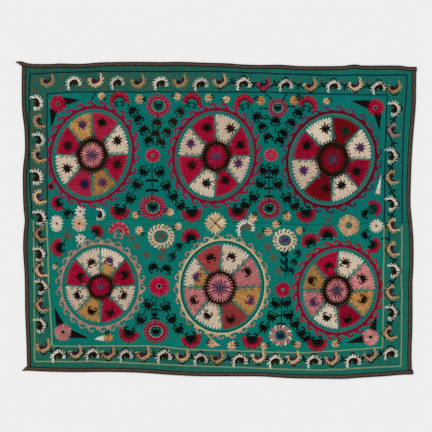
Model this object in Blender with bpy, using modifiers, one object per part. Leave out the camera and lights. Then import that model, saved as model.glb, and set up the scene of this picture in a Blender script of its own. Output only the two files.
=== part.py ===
"""Suzani: a large embroidered cotton cloth, sewn from two widths and edged with a folded braid.

It lies face up on the XY plane with its top edge towards +Y. Tables are in millimetres.
"""

import math
from collections import namedtuple

import bmesh
import bpy

MM = 0.001

# Cloth, braid and the gap left between pieces
CLOTH_THICKNESS = 1.6
PIECE_GAP = 0.3
BRAID_WIDTH = 22.0
BRAID_WALL = 0.8
BRAID_SLOT = CLOTH_THICKNESS + 2 * PIECE_GAP
BRAID_BEND_RADIUS = 1.4
BRAID_BEND_STEPS = 3
CLOTH_INSET = 4.0
CLOTH_LIFT = BRAID_WALL + PIECE_GAP

# The cloth runs level through the fold, then comes down to the surface inside it
LEVEL_DISTANCE = 27.0
DOWN_DISTANCE = 62.0
RIPPLE_START = 45.0
RIPPLE_FULL = 150.0

# Grid stations: close ones at a braided edge, then even ones
EDGE_STATIONS = (0.0, 21.0, 56.0)
CLOTH_SPACING = 50.0
BRAID_SPACING = 50.0

# Colours of the cotton and the braid
UPPER_TEAL = (0.006, 0.185, 0.165)
LOWER_TEAL = (0.008, 0.205, 0.165)
BRAID_BROWN = (0.045, 0.026, 0.02)
COTTON_ROUGHNESS = 0.88
BRAID_ROUGHNESS = 0.85

# Loose braid ends at the left corners, and the short stubs at the right corners
TAIL_WIDTH = 5.0
TAIL_SLOT = 0.5
TOP_TAIL_TIP = -1102.0
TOP_TAIL_ROOT = -1070.0
BOTTOM_TAIL_TIP = -1066.0
BOTTOM_TAIL_ROOT = -1040.0
TAIL_STATIONS = (0.0, 8.0, 17.0, 26.0, 36.0)
TOP_STUB = 3.0
BOTTOM_STUB = 7.0

# Outer edges of the whole piece. Top and bottom rows are (x, y), side rows are (y, x)
TOP_EDGE = (
    (-1102, 870), (-1084, 872), (-1067, 870), (-1045, 863), (-1010, 858), (-914, 857),
    (-860, 860), (-777, 858), (-722, 859), (-667, 864), (-600, 867), (-450, 869), (-300, 868),
    (-200, 869), (-50, 864), (60, 861), (140, 855), (240, 852), (350, 853), (460, 846),
    (570, 845), (700, 847), (740, 853), (770, 854), (805, 849), (930, 849), (1010, 848),
    (1055, 842), (1102, 841),
)
BOTTOM_EDGE = (
    (-1066, -829), (-1040, -827), (-1000, -829), (-900, -833), (-780, -835), (-600, -834),
    (-450, -837), (-360, -842), (-250, -850), (-100, -857), (80, -858), (250, -859),
    (400, -868), (570, -871), (700, -872), (770, -867), (850, -862), (930, -857),
    (1010, -850), (1085, -847),
)
LEFT_EDGE = (
    (-835, -1039), (-780, -1040), (-700, -1042), (-620, -1045), (-500, -1050), (-400, -1051),
    (-300, -1053), (-165, -1061), (-80, -1059), (0, -1052), (60, -1058), (150, -1062),
    (275, -1062), (385, -1051), (495, -1054), (600, -1066), (715, -1069), (830, -1068),
    (870, -1067),
)
RIGHT_EDGE = (
    (-872, 1078), (-800, 1074), (-720, 1073), (-600, 1077), (-450, 1078), (-350, 1078),
    (-250, 1083), (-110, 1083), (0, 1075), (90, 1067), (200, 1069), (320, 1073), (440, 1080),
    (500, 1085), (570, 1091), (640, 1096), (760, 1098), (850, 1099),
)

# The seam between the two widths, as (x, y)
SEAM = (
    (-1060, 10), (-800, 7), (-610, 3), (-350, -2), (-150, -6), (20, -11), (190, -17),
    (350, -24), (520, -30), (710, -29), (850, -22), (930, -19), (1085, -14),
)

# Low ripples, each turned by some degrees from +X about its middle
Ripple = namedtuple("Ripple", "x y degrees half_length half_width height")
RIPPLES = (
    Ripple(-560, 10, -1, 330, 95, 3.0),
    Ripple(430, -28, -3, 380, 105, 3.4),
    Ripple(-320, 400, 92, 260, 110, 3.6),
    Ripple(318, 380, 86, 240, 105, 3.2),
    Ripple(-318, -420, 88, 250, 115, 4.0),
    Ripple(368, -400, 93, 260, 110, 3.4),
    Ripple(905, 60, 8, 230, 115, 4.6),
    Ripple(880, -330, -14, 210, 105, 3.2),
    Ripple(-880, -30, 5, 220, 110, 3.8),
    Ripple(260, -745, 3, 380, 85, 2.6),
    Ripple(-240, 770, -2, 330, 85, 2.8),
)


def smooth_through(rows, along):
    """Height of a smooth curve through the rows, at a place along it."""
    last = len(rows) - 1
    index = 0
    while index < last - 1 and along > rows[index + 1][0]:
        index += 1

    def slope(at):
        before, after = rows[max(at - 1, 0)], rows[min(at + 1, last)]
        return (after[1] - before[1]) / (after[0] - before[0])

    (start, low), (end, high) = rows[index], rows[index + 1]
    span = end - start
    t = (min(max(along, start), end) - start) / span
    return (
        low * (1 + 2 * t) * (1 - t) ** 2
        + slope(index) * span * t * (1 - t) ** 2
        + high * t * t * (3 - 2 * t)
        + slope(index + 1) * span * t * t * (t - 1)
    )


def ease(value, start, end):
    """0 before start, 1 after end, and smooth between."""
    t = min(max((value - start) / (end - start), 0.0), 1.0)
    return t * t * (3 - 2 * t)


def stations(length, edge_start, edge_end, spacing):
    """Places from 0 to length: the given ones at each end, then even ones between."""
    first = list(edge_start)
    last = [length - distance for distance in reversed(edge_end)]
    steps = max(1, round((last[0] - first[-1]) / spacing))
    step = (last[0] - first[-1]) / steps
    middle = [first[-1] + step * index for index in range(1, steps)]
    return first + middle + last


def edge_distance(x, y):
    """Distance in from the nearest braided edge."""
    return min(
        smooth_through(TOP_EDGE, x) - y,
        y - smooth_through(BOTTOM_EDGE, x),
        x - smooth_through(LEFT_EDGE, y),
        smooth_through(RIGHT_EDGE, y) - x,
    )


def ripple_height(x, y):
    """Height of the low ripples above the surface."""
    total = 0.0
    for ripple in RIPPLES:
        turn = math.radians(ripple.degrees)
        dx, dy = x - ripple.x, y - ripple.y
        along = (dx * math.cos(turn) + dy * math.sin(turn)) / ripple.half_length
        across = (dy * math.cos(turn) - dx * math.sin(turn)) / ripple.half_width
        reach = math.hypot(along, across)
        if reach < 1:
            total += ripple.height * math.cos(reach * math.pi / 2) ** 2
    return total * ease(edge_distance(x, y), RIPPLE_START, RIPPLE_FULL)


def cloth_underside(x, y):
    """Height of the cloth's underside."""
    lift = CLOTH_LIFT * (1 - ease(edge_distance(x, y), LEVEL_DISTANCE, DOWN_DISTANCE))
    return lift + ripple_height(x, y)


def cloth_point(u, v, low_edge, high_edge):
    """The point at fractions u and v between the side edges and two long edges."""
    x, y = 0.0, 0.0
    for _ in range(5):
        low, high = low_edge(x), high_edge(x)
        y = low + (high - low) * v
        left = smooth_through(LEFT_EDGE, y) + CLOTH_INSET
        right = smooth_through(RIGHT_EDGE, y) - CLOTH_INSET
        x = left + (right - left) * u
    return x, y


def thread_material(name, colour, roughness):
    """A matt textile material."""
    material = bpy.data.materials.new(name)
    material.use_nodes = True
    shader = material.node_tree.nodes["Principled BSDF"]
    shader.inputs["Base Color"].default_value = (*colour, 1.0)
    shader.inputs["Roughness"].default_value = roughness
    shader.inputs["Metallic"].default_value = 0.0
    return material


def placed_grid(name, columns, rows, place, thickness, offset, material, collection):
    """A grid whose points go where place(column, row) says, in millimetres, made solid."""
    shape = bmesh.new()
    bmesh.ops.create_grid(
        shape, x_segments=len(columns) - 1, y_segments=len(rows) - 1, size=1.0
    )
    for vertex in shape.verts:
        column = columns[round((vertex.co.x + 1) / 2 * (len(columns) - 1))]
        row = rows[round((vertex.co.y + 1) / 2 * (len(rows) - 1))]
        vertex.co = [value * MM for value in place(column, row)]
    mesh = bpy.data.meshes.new(name)
    shape.to_mesh(mesh)
    shape.free()
    mesh.materials.append(material)
    mesh.shade_smooth()
    mesh.set_sharp_from_angle(angle=math.radians(35))
    piece = bpy.data.objects.new(name, mesh)
    collection.objects.link(piece)
    solid = piece.modifiers.new("Thickness", "SOLIDIFY")
    solid.thickness = thickness * MM
    solid.offset = offset
    solid.use_even_offset = True
    return piece


def cloth_panel(name, low_edge, high_edge, braid_below, material, collection):
    """One width of cloth, between a low and a high long edge."""
    across = smooth_through(RIGHT_EDGE, 0) - smooth_through(LEFT_EDGE, 0) - 2 * CLOTH_INSET
    up = high_edge(0) - low_edge(0)
    columns = stations(across, EDGE_STATIONS, EDGE_STATIONS, CLOTH_SPACING)
    seam_stations = (0.0,)
    rows = stations(
        up,
        EDGE_STATIONS if braid_below else seam_stations,
        seam_stations if braid_below else EDGE_STATIONS,
        CLOTH_SPACING,
    )

    def place(column, row):
        x, y = cloth_point(column / across, row / up, low_edge, high_edge)
        return x, y, cloth_underside(x, y)

    return placed_grid(
        name, columns, rows, place, CLOTH_THICKNESS, 1.0, material, collection
    )


def fold_profile(lip, slot):
    """Outside of the folded braid, from the lower lip round to the upper one.

    Each row is the distance in from the outer edge and the height.
    """
    height = 2 * BRAID_WALL + slot
    radius = min(BRAID_BEND_RADIUS, height / 2)
    rows = [(lip, 0.0), (lip * 0.5, 0.0)]
    for step in range(BRAID_BEND_STEPS + 1):
        turn = math.pi / 2 * step / BRAID_BEND_STEPS
        rows.append((radius * (1 - math.sin(turn)), radius * (1 - math.cos(turn))))
    for distance, level in reversed(rows):
        rows.append((distance, height - level))
    return rows


def tail_profile(x, tip, root):
    """The fold at a place along a braid whose loose end narrows to its tip."""
    share = ease(x, tip, root)
    lip = TAIL_WIDTH + (BRAID_WIDTH - TAIL_WIDTH) * share
    slot = TAIL_SLOT + (BRAID_SLOT - TAIL_SLOT) * share
    return fold_profile(lip, slot)


def long_braid(name, edge, inward, tip, root, stub, material, collection):
    """The braid over the top or bottom edge, inward being -1 or +1 along Y."""
    turns = list(range(len(fold_profile(BRAID_WIDTH, BRAID_SLOT))))
    full = smooth_through(RIGHT_EDGE, smooth_through(edge, 0)) - tip
    rows = stations(full, TAIL_STATIONS, (0.0, 12.0), BRAID_SPACING)

    def place(turn, row):
        x = tip + row
        for _ in range(4):
            distance, height = tail_profile(x, tip, root)[turn]
            y = smooth_through(edge, x) + inward * distance
            x = tip + (smooth_through(RIGHT_EDGE, y) + stub - tip) * row / full
        return x, y, height

    return placed_grid(
        name, turns, rows, place, BRAID_WALL, inward, material, collection
    )


def side_braid(name, edge, inward, material, collection):
    """The braid over a side edge, butted between the long braids, inward along X."""
    profile = fold_profile(BRAID_WIDTH, BRAID_SLOT)
    turns = list(range(len(profile)))
    butt = BRAID_WIDTH + PIECE_GAP
    middle = smooth_through(edge, 0)
    full = smooth_through(TOP_EDGE, middle) - smooth_through(BOTTOM_EDGE, middle)
    full -= 2 * butt
    rows = stations(full, (0.0,), (0.0,), BRAID_SPACING)

    def place(turn, row):
        distance, height = profile[turn]
        x = middle
        for _ in range(4):
            low = smooth_through(BOTTOM_EDGE, x) + butt
            high = smooth_through(TOP_EDGE, x) - butt
            y = low + (high - low) * row / full
            x = smooth_through(edge, y) + inward * distance
        return x, y, height

    return placed_grid(
        name, turns, rows, place, BRAID_WALL, -inward, material, collection
    )


def seam_edge(side):
    """The seam line, moved half the piece gap to one side."""
    return lambda x: smooth_through(SEAM, x) + side * PIECE_GAP / 2


def top_cloth_edge(x):
    """The cloth's top edge, inside the fold."""
    return smooth_through(TOP_EDGE, x) - CLOTH_INSET


def bottom_cloth_edge(x):
    """The cloth's bottom edge, inside the fold."""
    return smooth_through(BOTTOM_EDGE, x) + CLOTH_INSET


def clear_scene():
    """Removes the objects that a new file starts with."""
    for leftover in list(bpy.data.objects):
        bpy.data.objects.remove(leftover, do_unlink=True)


def build():
    """Makes both widths of cloth and the four braids."""
    clear_scene()
    collection = bpy.data.collections.new("suzani")
    bpy.context.scene.collection.children.link(collection)
    upper_cotton = thread_material("upper teal cotton", UPPER_TEAL, COTTON_ROUGHNESS)
    lower_cotton = thread_material("lower teal cotton", LOWER_TEAL, COTTON_ROUGHNESS)
    cloth_panel("upper_panel", seam_edge(1), top_cloth_edge, False, upper_cotton, collection)
    cloth_panel(
        "lower_panel", bottom_cloth_edge, seam_edge(-1), True, lower_cotton, collection
    )
    long_braids = (
        ("braid_top", TOP_EDGE, -1, TOP_TAIL_TIP, TOP_TAIL_ROOT, TOP_STUB),
        ("braid_bottom", BOTTOM_EDGE, 1, BOTTOM_TAIL_TIP, BOTTOM_TAIL_ROOT, BOTTOM_STUB),
    )
    for name, edge, inward, tip, root, stub in long_braids:
        braid = thread_material(name + " brown", BRAID_BROWN, BRAID_ROUGHNESS)
        long_braid(name, edge, inward, tip, root, stub, braid, collection)
    for name, edge, inward in (("braid_left", LEFT_EDGE, 1), ("braid_right", RIGHT_EDGE, -1)):
        braid = thread_material(name + " brown", BRAID_BROWN, BRAID_ROUGHNESS)
        side_braid(name, edge, inward, braid, collection)


build()
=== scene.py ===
"""Looks of the suzani: cotton widths, folded braid and the silk embroidery laid on them.

Lengths are millimetres unless a name says otherwise. The layout tables give each motif's place
as (across, down) in photo pixels, which photo_spot turns into millimetres on the cloth.
"""

import logging
import math
from collections.abc import Callable, Iterable, Sequence
from dataclasses import dataclass
from enum import Enum

import bpy
import numpy as np
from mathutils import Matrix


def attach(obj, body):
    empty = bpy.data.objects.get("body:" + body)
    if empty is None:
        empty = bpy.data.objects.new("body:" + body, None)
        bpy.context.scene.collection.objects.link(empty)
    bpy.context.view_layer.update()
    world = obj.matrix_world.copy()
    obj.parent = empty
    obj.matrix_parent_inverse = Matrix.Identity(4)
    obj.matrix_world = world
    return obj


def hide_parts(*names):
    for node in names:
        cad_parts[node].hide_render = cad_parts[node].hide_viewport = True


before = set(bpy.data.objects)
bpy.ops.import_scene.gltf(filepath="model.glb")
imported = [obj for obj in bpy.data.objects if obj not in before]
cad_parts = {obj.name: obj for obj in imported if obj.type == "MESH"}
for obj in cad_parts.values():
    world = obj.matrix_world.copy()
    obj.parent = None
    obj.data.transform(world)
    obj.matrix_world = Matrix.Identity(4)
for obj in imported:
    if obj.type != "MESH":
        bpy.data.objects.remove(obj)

logging.basicConfig(level=logging.INFO, format="%(message)s")
log = logging.getLogger("suzani")

MM = 0.001
Colour = tuple[int, int, int]
Linear = tuple[float, float, float, float]
Spot = tuple[float, float]
Rows = tuple[Spot, ...]
Shape = Sequence[Sequence[float]]
Sizes = Sequence[float] | float
Array = np.ndarray
Piece = bpy.types.Object
Material = bpy.types.Material
Socket = bpy.types.NodeSocket

# One photo pixel on the cloth, and the pixel that lies at the frame's middle
PIXEL = 5.5
MIDDLE_ACROSS = 215.7
MIDDLE_DOWN = 219.45


def photo_spot(across: float, down: float) -> Array:
    """Turns a place in photo pixels into x and y on the cloth."""
    return np.array([(across - MIDDLE_ACROSS) * PIXEL, (MIDDLE_DOWN - down) * PIXEL])


def linear(colour: Colour) -> Linear:
    """Turns an 8-bit screen colour into the linear one that shaders take."""
    share = [value / 255 for value in colour]
    return (*(s / 12.92 if s <= 0.04045 else ((s + 0.055) / 1.055) ** 2.4 for s in share), 1.0)


class Thread(Enum):
    """Silk colours, each with its main dye and the faded or second one beside it."""

    CRIMSON = ((148, 2, 40), (178, 12, 58))
    ROSE = ((168, 24, 58), (196, 52, 80))
    DARK_CRIMSON = ((112, 2, 14), (142, 10, 30))
    RING = ((116, 4, 40), (150, 14, 58))
    WINE = ((84, 4, 28), (114, 12, 44))
    MAGENTA = ((150, 6, 64), (108, 18, 80))
    PINK = ((182, 104, 108), (208, 138, 130))
    DUSTY_PINK = ((176, 126, 112), (196, 150, 128))
    BRICK = ((146, 52, 52), (172, 76, 70))
    CREAM = ((218, 192, 168), (208, 200, 180))
    WHITE = ((222, 208, 192), (210, 212, 196))
    PEACH = ((204, 160, 116), (220, 190, 148))
    TAN = ((178, 140, 92), (206, 166, 122))
    OCHRE = ((176, 122, 62), (196, 148, 86))
    BROWN = ((30, 12, 4), (46, 20, 10))
    BLACK = ((6, 10, 8), (18, 18, 14))
    SPIKE = ((18, 8, 10), (34, 16, 16))
    PLUM = ((70, 34, 72), (102, 62, 104))
    GRAPE = ((46, 16, 34), (84, 40, 72))
    NAVY = ((16, 18, 50), (34, 40, 76))
    LEAF = ((4, 34, 26), (12, 48, 36))
    VINE = ((2, 26, 32), (12, 40, 40))
    TEAL = ((14, 98, 86), (28, 112, 96))
    SLATE = ((70, 96, 96), (96, 108, 102))
    FADED = ((92, 80, 66), (70, 92, 76))
    SAGE = ((66, 118, 102), (92, 134, 110))
    PARCHMENT = ((200, 182, 138), (212, 204, 168))
    GUARD_NAVY = ((0, 30, 52), (0, 52, 66))
    GUARD_OLIVE = ((132, 156, 112), (162, 174, 134))


# Short names for the silks, with the most used ones as single letters
(CRIMSON, ROSE, DEEP, RING, WINE, MAGENTA, PINK, DUSTY, BRICK, CREAM, WHITE, PEACH, TAN, OCHRE,
 BROWN, BLACK, SPIKE, PLUM, GRAPE, NAVY, LEAF_GREEN, VINE, TEAL, SLATE, FADED, SAGE, PARCHMENT,
 GUARD_NAVY, GUARD_OLIVE) = Thread
C, O, P, D, T, W = CREAM, OCHRE, PEACH, DUSTY, TAN, WHITE


class Shader:
    """A material and its node tree, with short calls for the nodes that textiles need."""

    def __init__(self, name: str, roughness: float, tint: Linear = (1.0, 1.0, 1.0, 1.0),
                 sheen: float = 0.02) -> None:
        """Starts the material.

        Args:
            name: its name.
            roughness: how matt it is.
            tint: the colour of its sheen.
            sheen: how strong the sheen is.
        """
        self.material = bpy.data.materials.new(name)
        self.material.use_nodes = True
        self.tree = self.material.node_tree
        self.surface = self.tree.nodes["Principled BSDF"]
        for socket, value in (("Roughness", roughness), ("Sheen Weight", sheen),
                              ("Sheen Roughness", 0.4), ("Sheen Tint", tint),
                              ("Specular IOR Level", 0.04)):
            self.surface.inputs[socket].default_value = value

    def node(self, kind: str, inputs: dict[str | int, object], output: str | int = 0,
             **settings: object) -> Socket:
        """Adds one node.

        Args:
            kind: its type, without the ShaderNode prefix.
            inputs: a value or another node's socket for each input named.
            output: which output is wanted.
            settings: the node's own settings.

        Returns:
            That output's socket.
        """
        made = self.tree.nodes.new("ShaderNode" + kind)
        for name, value in settings.items():
            setattr(made, name, value)
        for name, value in inputs.items():
            if isinstance(value, Socket):
                self.tree.links.new(value, made.inputs[name])
            else:
                made.inputs[name].default_value = value
        return made.outputs[output]

    def places(self, source: str, scale: Sequence[float]) -> Socket:
        """Stretched texture places: a UV map's, or those of the object in metres.

        Args:
            source: a UV map's name, or Object.
            scale: the stretch along each axis.

        Returns:
            The places' socket.
        """
        if source == "Object":
            found = self.node("TexCoord", {}, "Object")
        else:
            found = self.node("UVMap", {}, "UV", uv_map=source)
        return self.node("Mapping", {"Vector": found, "Scale": tuple(scale)})

    def noise(self, source: str, stretch: Sequence[float], scale: float,
              detail: float = 2.0) -> Socket:
        """Soft noise over stretched places."""
        return self.node("TexNoise", {
            "Vector": self.places(source, stretch), "Scale": scale, "Detail": detail})

    def spread(self, value: object, low: float, high: float, least: float = 0.0,
               most: float = 1.0) -> Socket:
        """Spreads a value's range from low to high over another one."""
        return self.node("MapRange", {0: value, 1: low, 2: high, 3: least, 4: most})

    def mix(self, share: object, first: object, second: object,
            kind: str = "MIX") -> Socket:
        """Mixes two colours."""
        return self.node("Mix", {0: share, 6: first, 7: second}, 2, data_type="RGBA",
                         blend_type=kind)

    def shade(self, colour: object, value: object) -> Socket:
        """Darkens or lightens a colour."""
        return self.mix(1.0, colour, value, "MULTIPLY")

    def maths(self, kind: str, *values: object) -> Socket:
        """Adds, multiplies or otherwise joins numbers."""
        return self.node("Math", dict(enumerate(values)), operation=kind)

    def finish(self, colour: object, height: object, strength: float,
               depth: float) -> Material:
        """Joins the colour and the relief to the surface.

        Args:
            colour: the colour.
            height: the relief, 0 to 1.
            strength: how much of the relief shows.
            depth: its depth.

        Returns:
            The finished material.
        """
        bump = self.node("Bump", {"Strength": strength, "Distance": depth * MM,
                                  "Height": height})
        self.tree.links.new(colour, self.surface.inputs["Base Color"])
        self.tree.links.new(bump, self.surface.inputs["Normal"])
        return self.material


@dataclass(frozen=True)
class SilkFinish:
    """Couched silk: two close dyes, streaked along the stitch and with painted shade between the
    rows, with the twist of the thread.
    """

    thread: Thread
    twist_pitch: float = 1.5
    relief: float = 0.35

    def material(self) -> Material:
        """Makes the silk's material.

        Returns:
            The material.
        """
        main, second = (linear(colour) for colour in self.thread.value)
        silk = Shader(self.thread.name.lower() + " silk", 0.6, second, 0.03)
        tone = silk.node("Attribute", {}, "Fac", attribute_name="tone")
        patches = silk.noise("Object", (1, 1, 0), 42.0, 3.0)
        streaks_and_painted_row_shade = silk.noise("stitch", (0.9, 9, 1), 1.0)
        share = silk.maths("ADD", patches, silk.maths("MULTIPLY", tone, 0.3))
        colour = silk.mix(silk.spread(share, 0.42, 0.85), main, second)
        # The streaks and each row's tone darken and lighten the silk: partly random dye, partly
        # painted shade between the rows.
        colour = silk.shade(colour, silk.spread(streaks_and_painted_row_shade, 0.3, 0.7, 0.72, 1.12))
        colour = silk.shade(colour, silk.spread(tone, -0.9, 0.9, 0.64, 1.2))
        twist = silk.node("TexWave", {
            "Vector": silk.places("stitch", (0.35, 1, 1)), "Distortion": 0.6, "Detail": 1.0,
            "Scale": 10 / (math.pi * self.twist_pitch)}, "Fac", bands_direction="Y")
        return silk.finish(colour, silk.maths("ADD", twist, streaks_and_painted_row_shade), self.relief, 0.4)


@dataclass(frozen=True)
class CottonFinish:
    """Plain woven cotton: slubby warp and weft, uneven dye, and a darker band at the border."""

    name: str
    field_colour: Colour
    band_colour: Colour
    thread_pitch: float = 2.2

    # Blots of another dye in the field and in the band, then their scale a metre and strength
    BLOTS = (
        ((0, 104, 76), (92, 82, 64), 62.0, 0.6), ((0, 108, 118), (26, 106, 68), 78.0, 0.55),
        ((30, 96, 92), (52, 92, 92), 115.0, 0.5),
    )
    # Shade that comes and goes: stretch, scale a metre, detail, darkest and lightest
    SHADES = (
        ((1, 1, 0), 5.0, 4.0, 0.88, 1.1), ((9, 1, 0), 30.0, 3.0, 0.86, 1.12),
        ((1, 11, 0), 30.0, 3.0, 0.86, 1.12), ((1, 1, 0), 150.0, 2.0, 0.78, 1.2),
    )

    def material(self) -> Material:
        """Makes the cotton's material.

        Returns:
            The material.
        """
        cotton = Shader(self.name, 0.9, linear(self.field_colour))
        band = cotton.node("Attribute", {}, "Fac", attribute_name="band")
        colour = cotton.mix(band, linear(self.field_colour), linear(self.band_colour))
        for step, (in_field, in_band, scale, most) in enumerate(self.BLOTS):
            spread = cotton.noise("Object", (1 + 0.01 * step, 1, 0), scale)
            dye = cotton.mix(band, linear(in_field), linear(in_band))
            colour = cotton.mix(cotton.spread(spread, 0.48, 0.7, 0.0, most), colour, dye)
        for stretch, scale, detail, low, high in self.SHADES:
            patch = cotton.noise("Object", stretch, scale, detail)
            colour = cotton.shade(colour, cotton.spread(patch, 0.3, 0.7, low, high))
        weave = [cotton.node("TexWave", {
            "Vector": cotton.places("Object", (1, 1, 0)), "Distortion": 1.2, "Detail": 2.0,
            "Scale": math.pi / 10 / (self.thread_pitch * MM)}, "Fac", bands_direction=way)
            for way in ("X", "Y")]
        return cotton.finish(colour, cotton.maths("ADD", *weave), 0.5, 0.35)


@dataclass(frozen=True)
class BraidFinish:
    """Loom braid: dark edges and a middle of pinkish brown picks that comes and goes."""

    edge: Colour = (24, 17, 13)
    middle: Colour = (72, 61, 51)
    pick: Colour = (114, 86, 78)

    def material(self) -> Material:
        """Makes the braid's material.

        Returns:
            The material.
        """
        braid = Shader("woven braid", 0.88)
        places = braid.node("UVMap", {}, "UV", uv_map="braid")
        across = braid.node("SeparateXYZ", {"Vector": places}, "Y")
        inside = braid.maths("MULTIPLY", braid.spread(across, 0.12, 0.26),
                             braid.spread(across, 0.84, 0.7))
        colour = braid.mix(inside, linear(self.edge), linear(self.middle))
        dashes = braid.spread(braid.noise("braid", (95, 4, 1), 1.0), 0.5, 0.64, 0.0, 0.85)
        colour = braid.mix(braid.maths("MULTIPLY", dashes, inside), colour, linear(self.pick))
        mottle = braid.noise("braid", (40, 9, 1), 1.0, 4.0)
        colour = braid.shade(colour, braid.spread(mottle, 0.3, 0.7, 0.42, 1.45))
        ribs = braid.node("TexWave", {
            "Vector": braid.places("braid", (1, 0.02, 1)), "Scale": 110.0, "Distortion": 1.5,
            "Detail": 2.0}, "Fac")
        return braid.finish(colour, braid.maths("ADD", ribs, mottle), 0.6, 0.4)


def through(rows: Rows | Array, along: Array) -> Array:
    """Height of the smooth curve through rows of (along, height), at each place along it.

    Args:
        rows: rows of (along, height), rising along.
        along: the places.

    Returns:
        The height at each place.
    """
    xs, ys = np.array(rows, float).T
    ends = np.arange(len(xs))
    before, after = np.maximum(ends - 1, 0), np.minimum(ends + 1, len(xs) - 1)
    slope = (ys[after] - ys[before]) / (xs[after] - xs[before])
    index = np.clip(np.searchsorted(xs, along) - 1, 0, len(xs) - 2)
    span = xs[index + 1] - xs[index]
    t = np.clip((along - xs[index]) / span, 0, 1)
    return (
        ys[index] * (1 + 2 * t) * (1 - t) ** 2
        + slope[index] * span * t * (1 - t) ** 2
        + ys[index + 1] * t * t * (3 - 2 * t)
        + slope[index + 1] * span * t * t * (t - 1)
    )


def ease(value: Array, start: float, end: float) -> Array:
    """0 before start, 1 after end, and smooth between."""
    t = np.clip((value - start) / (end - start), 0, 1)
    return t * t * (3 - 2 * t)


@dataclass(frozen=True)
class ClothShape:
    """The outline, seam, fold and ripples of the cloth, as the solids have them.

    Edge rows are (x, y) for the top, bottom and seam, and (y, x) for the sides. A ripple is its
    middle x and y, its turn in degrees, its half length and half width, and its height.
    """

    top: Rows = (
        (-1102, 870), (-1084, 872), (-1067, 870), (-1045, 863), (-1010, 858), (-914, 857),
        (-860, 860), (-777, 858), (-722, 859), (-667, 864), (-600, 867), (-450, 869),
        (-300, 868), (-200, 869), (-50, 864), (60, 861), (140, 855), (240, 852), (350, 853),
        (460, 846), (570, 845), (700, 847), (740, 853), (770, 854), (805, 849), (930, 849),
        (1010, 848), (1055, 842), (1102, 841),
    )
    bottom: Rows = (
        (-1066, -829), (-1040, -827), (-1000, -829), (-900, -833), (-780, -835), (-600, -834),
        (-450, -837), (-360, -842), (-250, -850), (-100, -857), (80, -858), (250, -859),
        (400, -868), (570, -871), (700, -872), (770, -867), (850, -862), (930, -857),
        (1010, -850), (1085, -847),
    )
    left: Rows = (
        (-835, -1039), (-780, -1040), (-700, -1042), (-620, -1045), (-500, -1050),
        (-400, -1051), (-300, -1053), (-165, -1061), (-80, -1059), (0, -1052), (60, -1058),
        (150, -1062), (275, -1062), (385, -1051), (495, -1054), (600, -1066), (715, -1069),
        (830, -1068), (870, -1067),
    )
    right: Rows = (
        (-872, 1078), (-800, 1074), (-720, 1073), (-600, 1077), (-450, 1078), (-350, 1078),
        (-250, 1083), (-110, 1083), (0, 1075), (90, 1067), (200, 1069), (320, 1073),
        (440, 1080), (500, 1085), (570, 1091), (640, 1096), (760, 1098), (850, 1099),
    )
    seam: Rows = (
        (-1060, 10), (-800, 7), (-610, 3), (-350, -2), (-150, -6), (20, -11), (190, -17),
        (350, -24), (520, -30), (710, -29), (850, -22), (930, -19), (1085, -14),
    )
    ripples: tuple[tuple[float, ...], ...] = (
        (-560, 10, -1, 330, 95, 3.0), (430, -28, -3, 380, 105, 3.4),
        (-320, 400, 92, 260, 110, 3.6), (318, 380, 86, 240, 105, 3.2),
        (-318, -420, 88, 250, 115, 4.0), (368, -400, 93, 260, 110, 3.4),
        (905, 60, 8, 230, 115, 4.6), (880, -330, -14, 210, 105, 3.2),
        (-880, -30, 5, 220, 110, 3.8), (260, -745, 3, 380, 85, 2.6),
        (-240, 770, -2, 330, 85, 2.8),
    )
    thickness: float = 1.6
    piece_gap: float = 0.3
    inset: float = 4.0
    lift: float = 1.1
    level_distance: float = 27.0
    down_distance: float = 62.0
    ripple_start: float = 45.0
    ripple_full: float = 150.0
    pucker: float = 0.55

    def edge_distance(self, x: Array, y: Array) -> Array:
        """Distance in from the nearest braided edge.

        Args:
            x: places across the cloth.
            y: places up the cloth.

        Returns:
            The distance in mm at each place.
        """
        sides = (
            through(self.top, x) - y, y - through(self.bottom, x),
            x - through(self.left, y), through(self.right, y) - x,
        )
        return np.minimum.reduce(sides)

    def underside(self, x: Array, y: Array) -> Array:
        """Height of the cloth's underside, with the small puckers that stitching draws up.

        Args:
            x: places across the cloth.
            y: places up the cloth.

        Returns:
            The height in mm at each place.
        """
        inward = self.edge_distance(x, y)
        total = np.zeros_like(x)
        for middle_x, middle_y, degrees, half_length, half_width, height in self.ripples:
            turn = math.radians(degrees)
            dx, dy = x - middle_x, y - middle_y
            along = (dx * math.cos(turn) + dy * math.sin(turn)) / half_length
            across = (dy * math.cos(turn) - dx * math.sin(turn)) / half_width
            reach = np.minimum(np.hypot(along, across), 1)
            total += height * np.cos(reach * math.pi / 2) ** 2
        drawn = (
            np.sin(x / 9.1 + 2.3 * np.sin(y / 31)) * np.sin(y / 10.3 + 1.7 * np.sin(x / 27))
            + np.sin(x / 23 + y / 37) * np.sin(y / 19 - x / 53)
        )
        total += self.pucker * (1 + drawn / 2)
        total *= ease(inward, self.ripple_start, self.ripple_full)
        return total + self.lift * (1 - ease(inward, self.level_distance, self.down_distance))

    def face(self, x: Array, y: Array) -> Array:
        """Height of the cloth's face, which the embroidery lies on."""
        return self.underside(x, y) + self.thickness


CLOTH = ClothShape()


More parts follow.
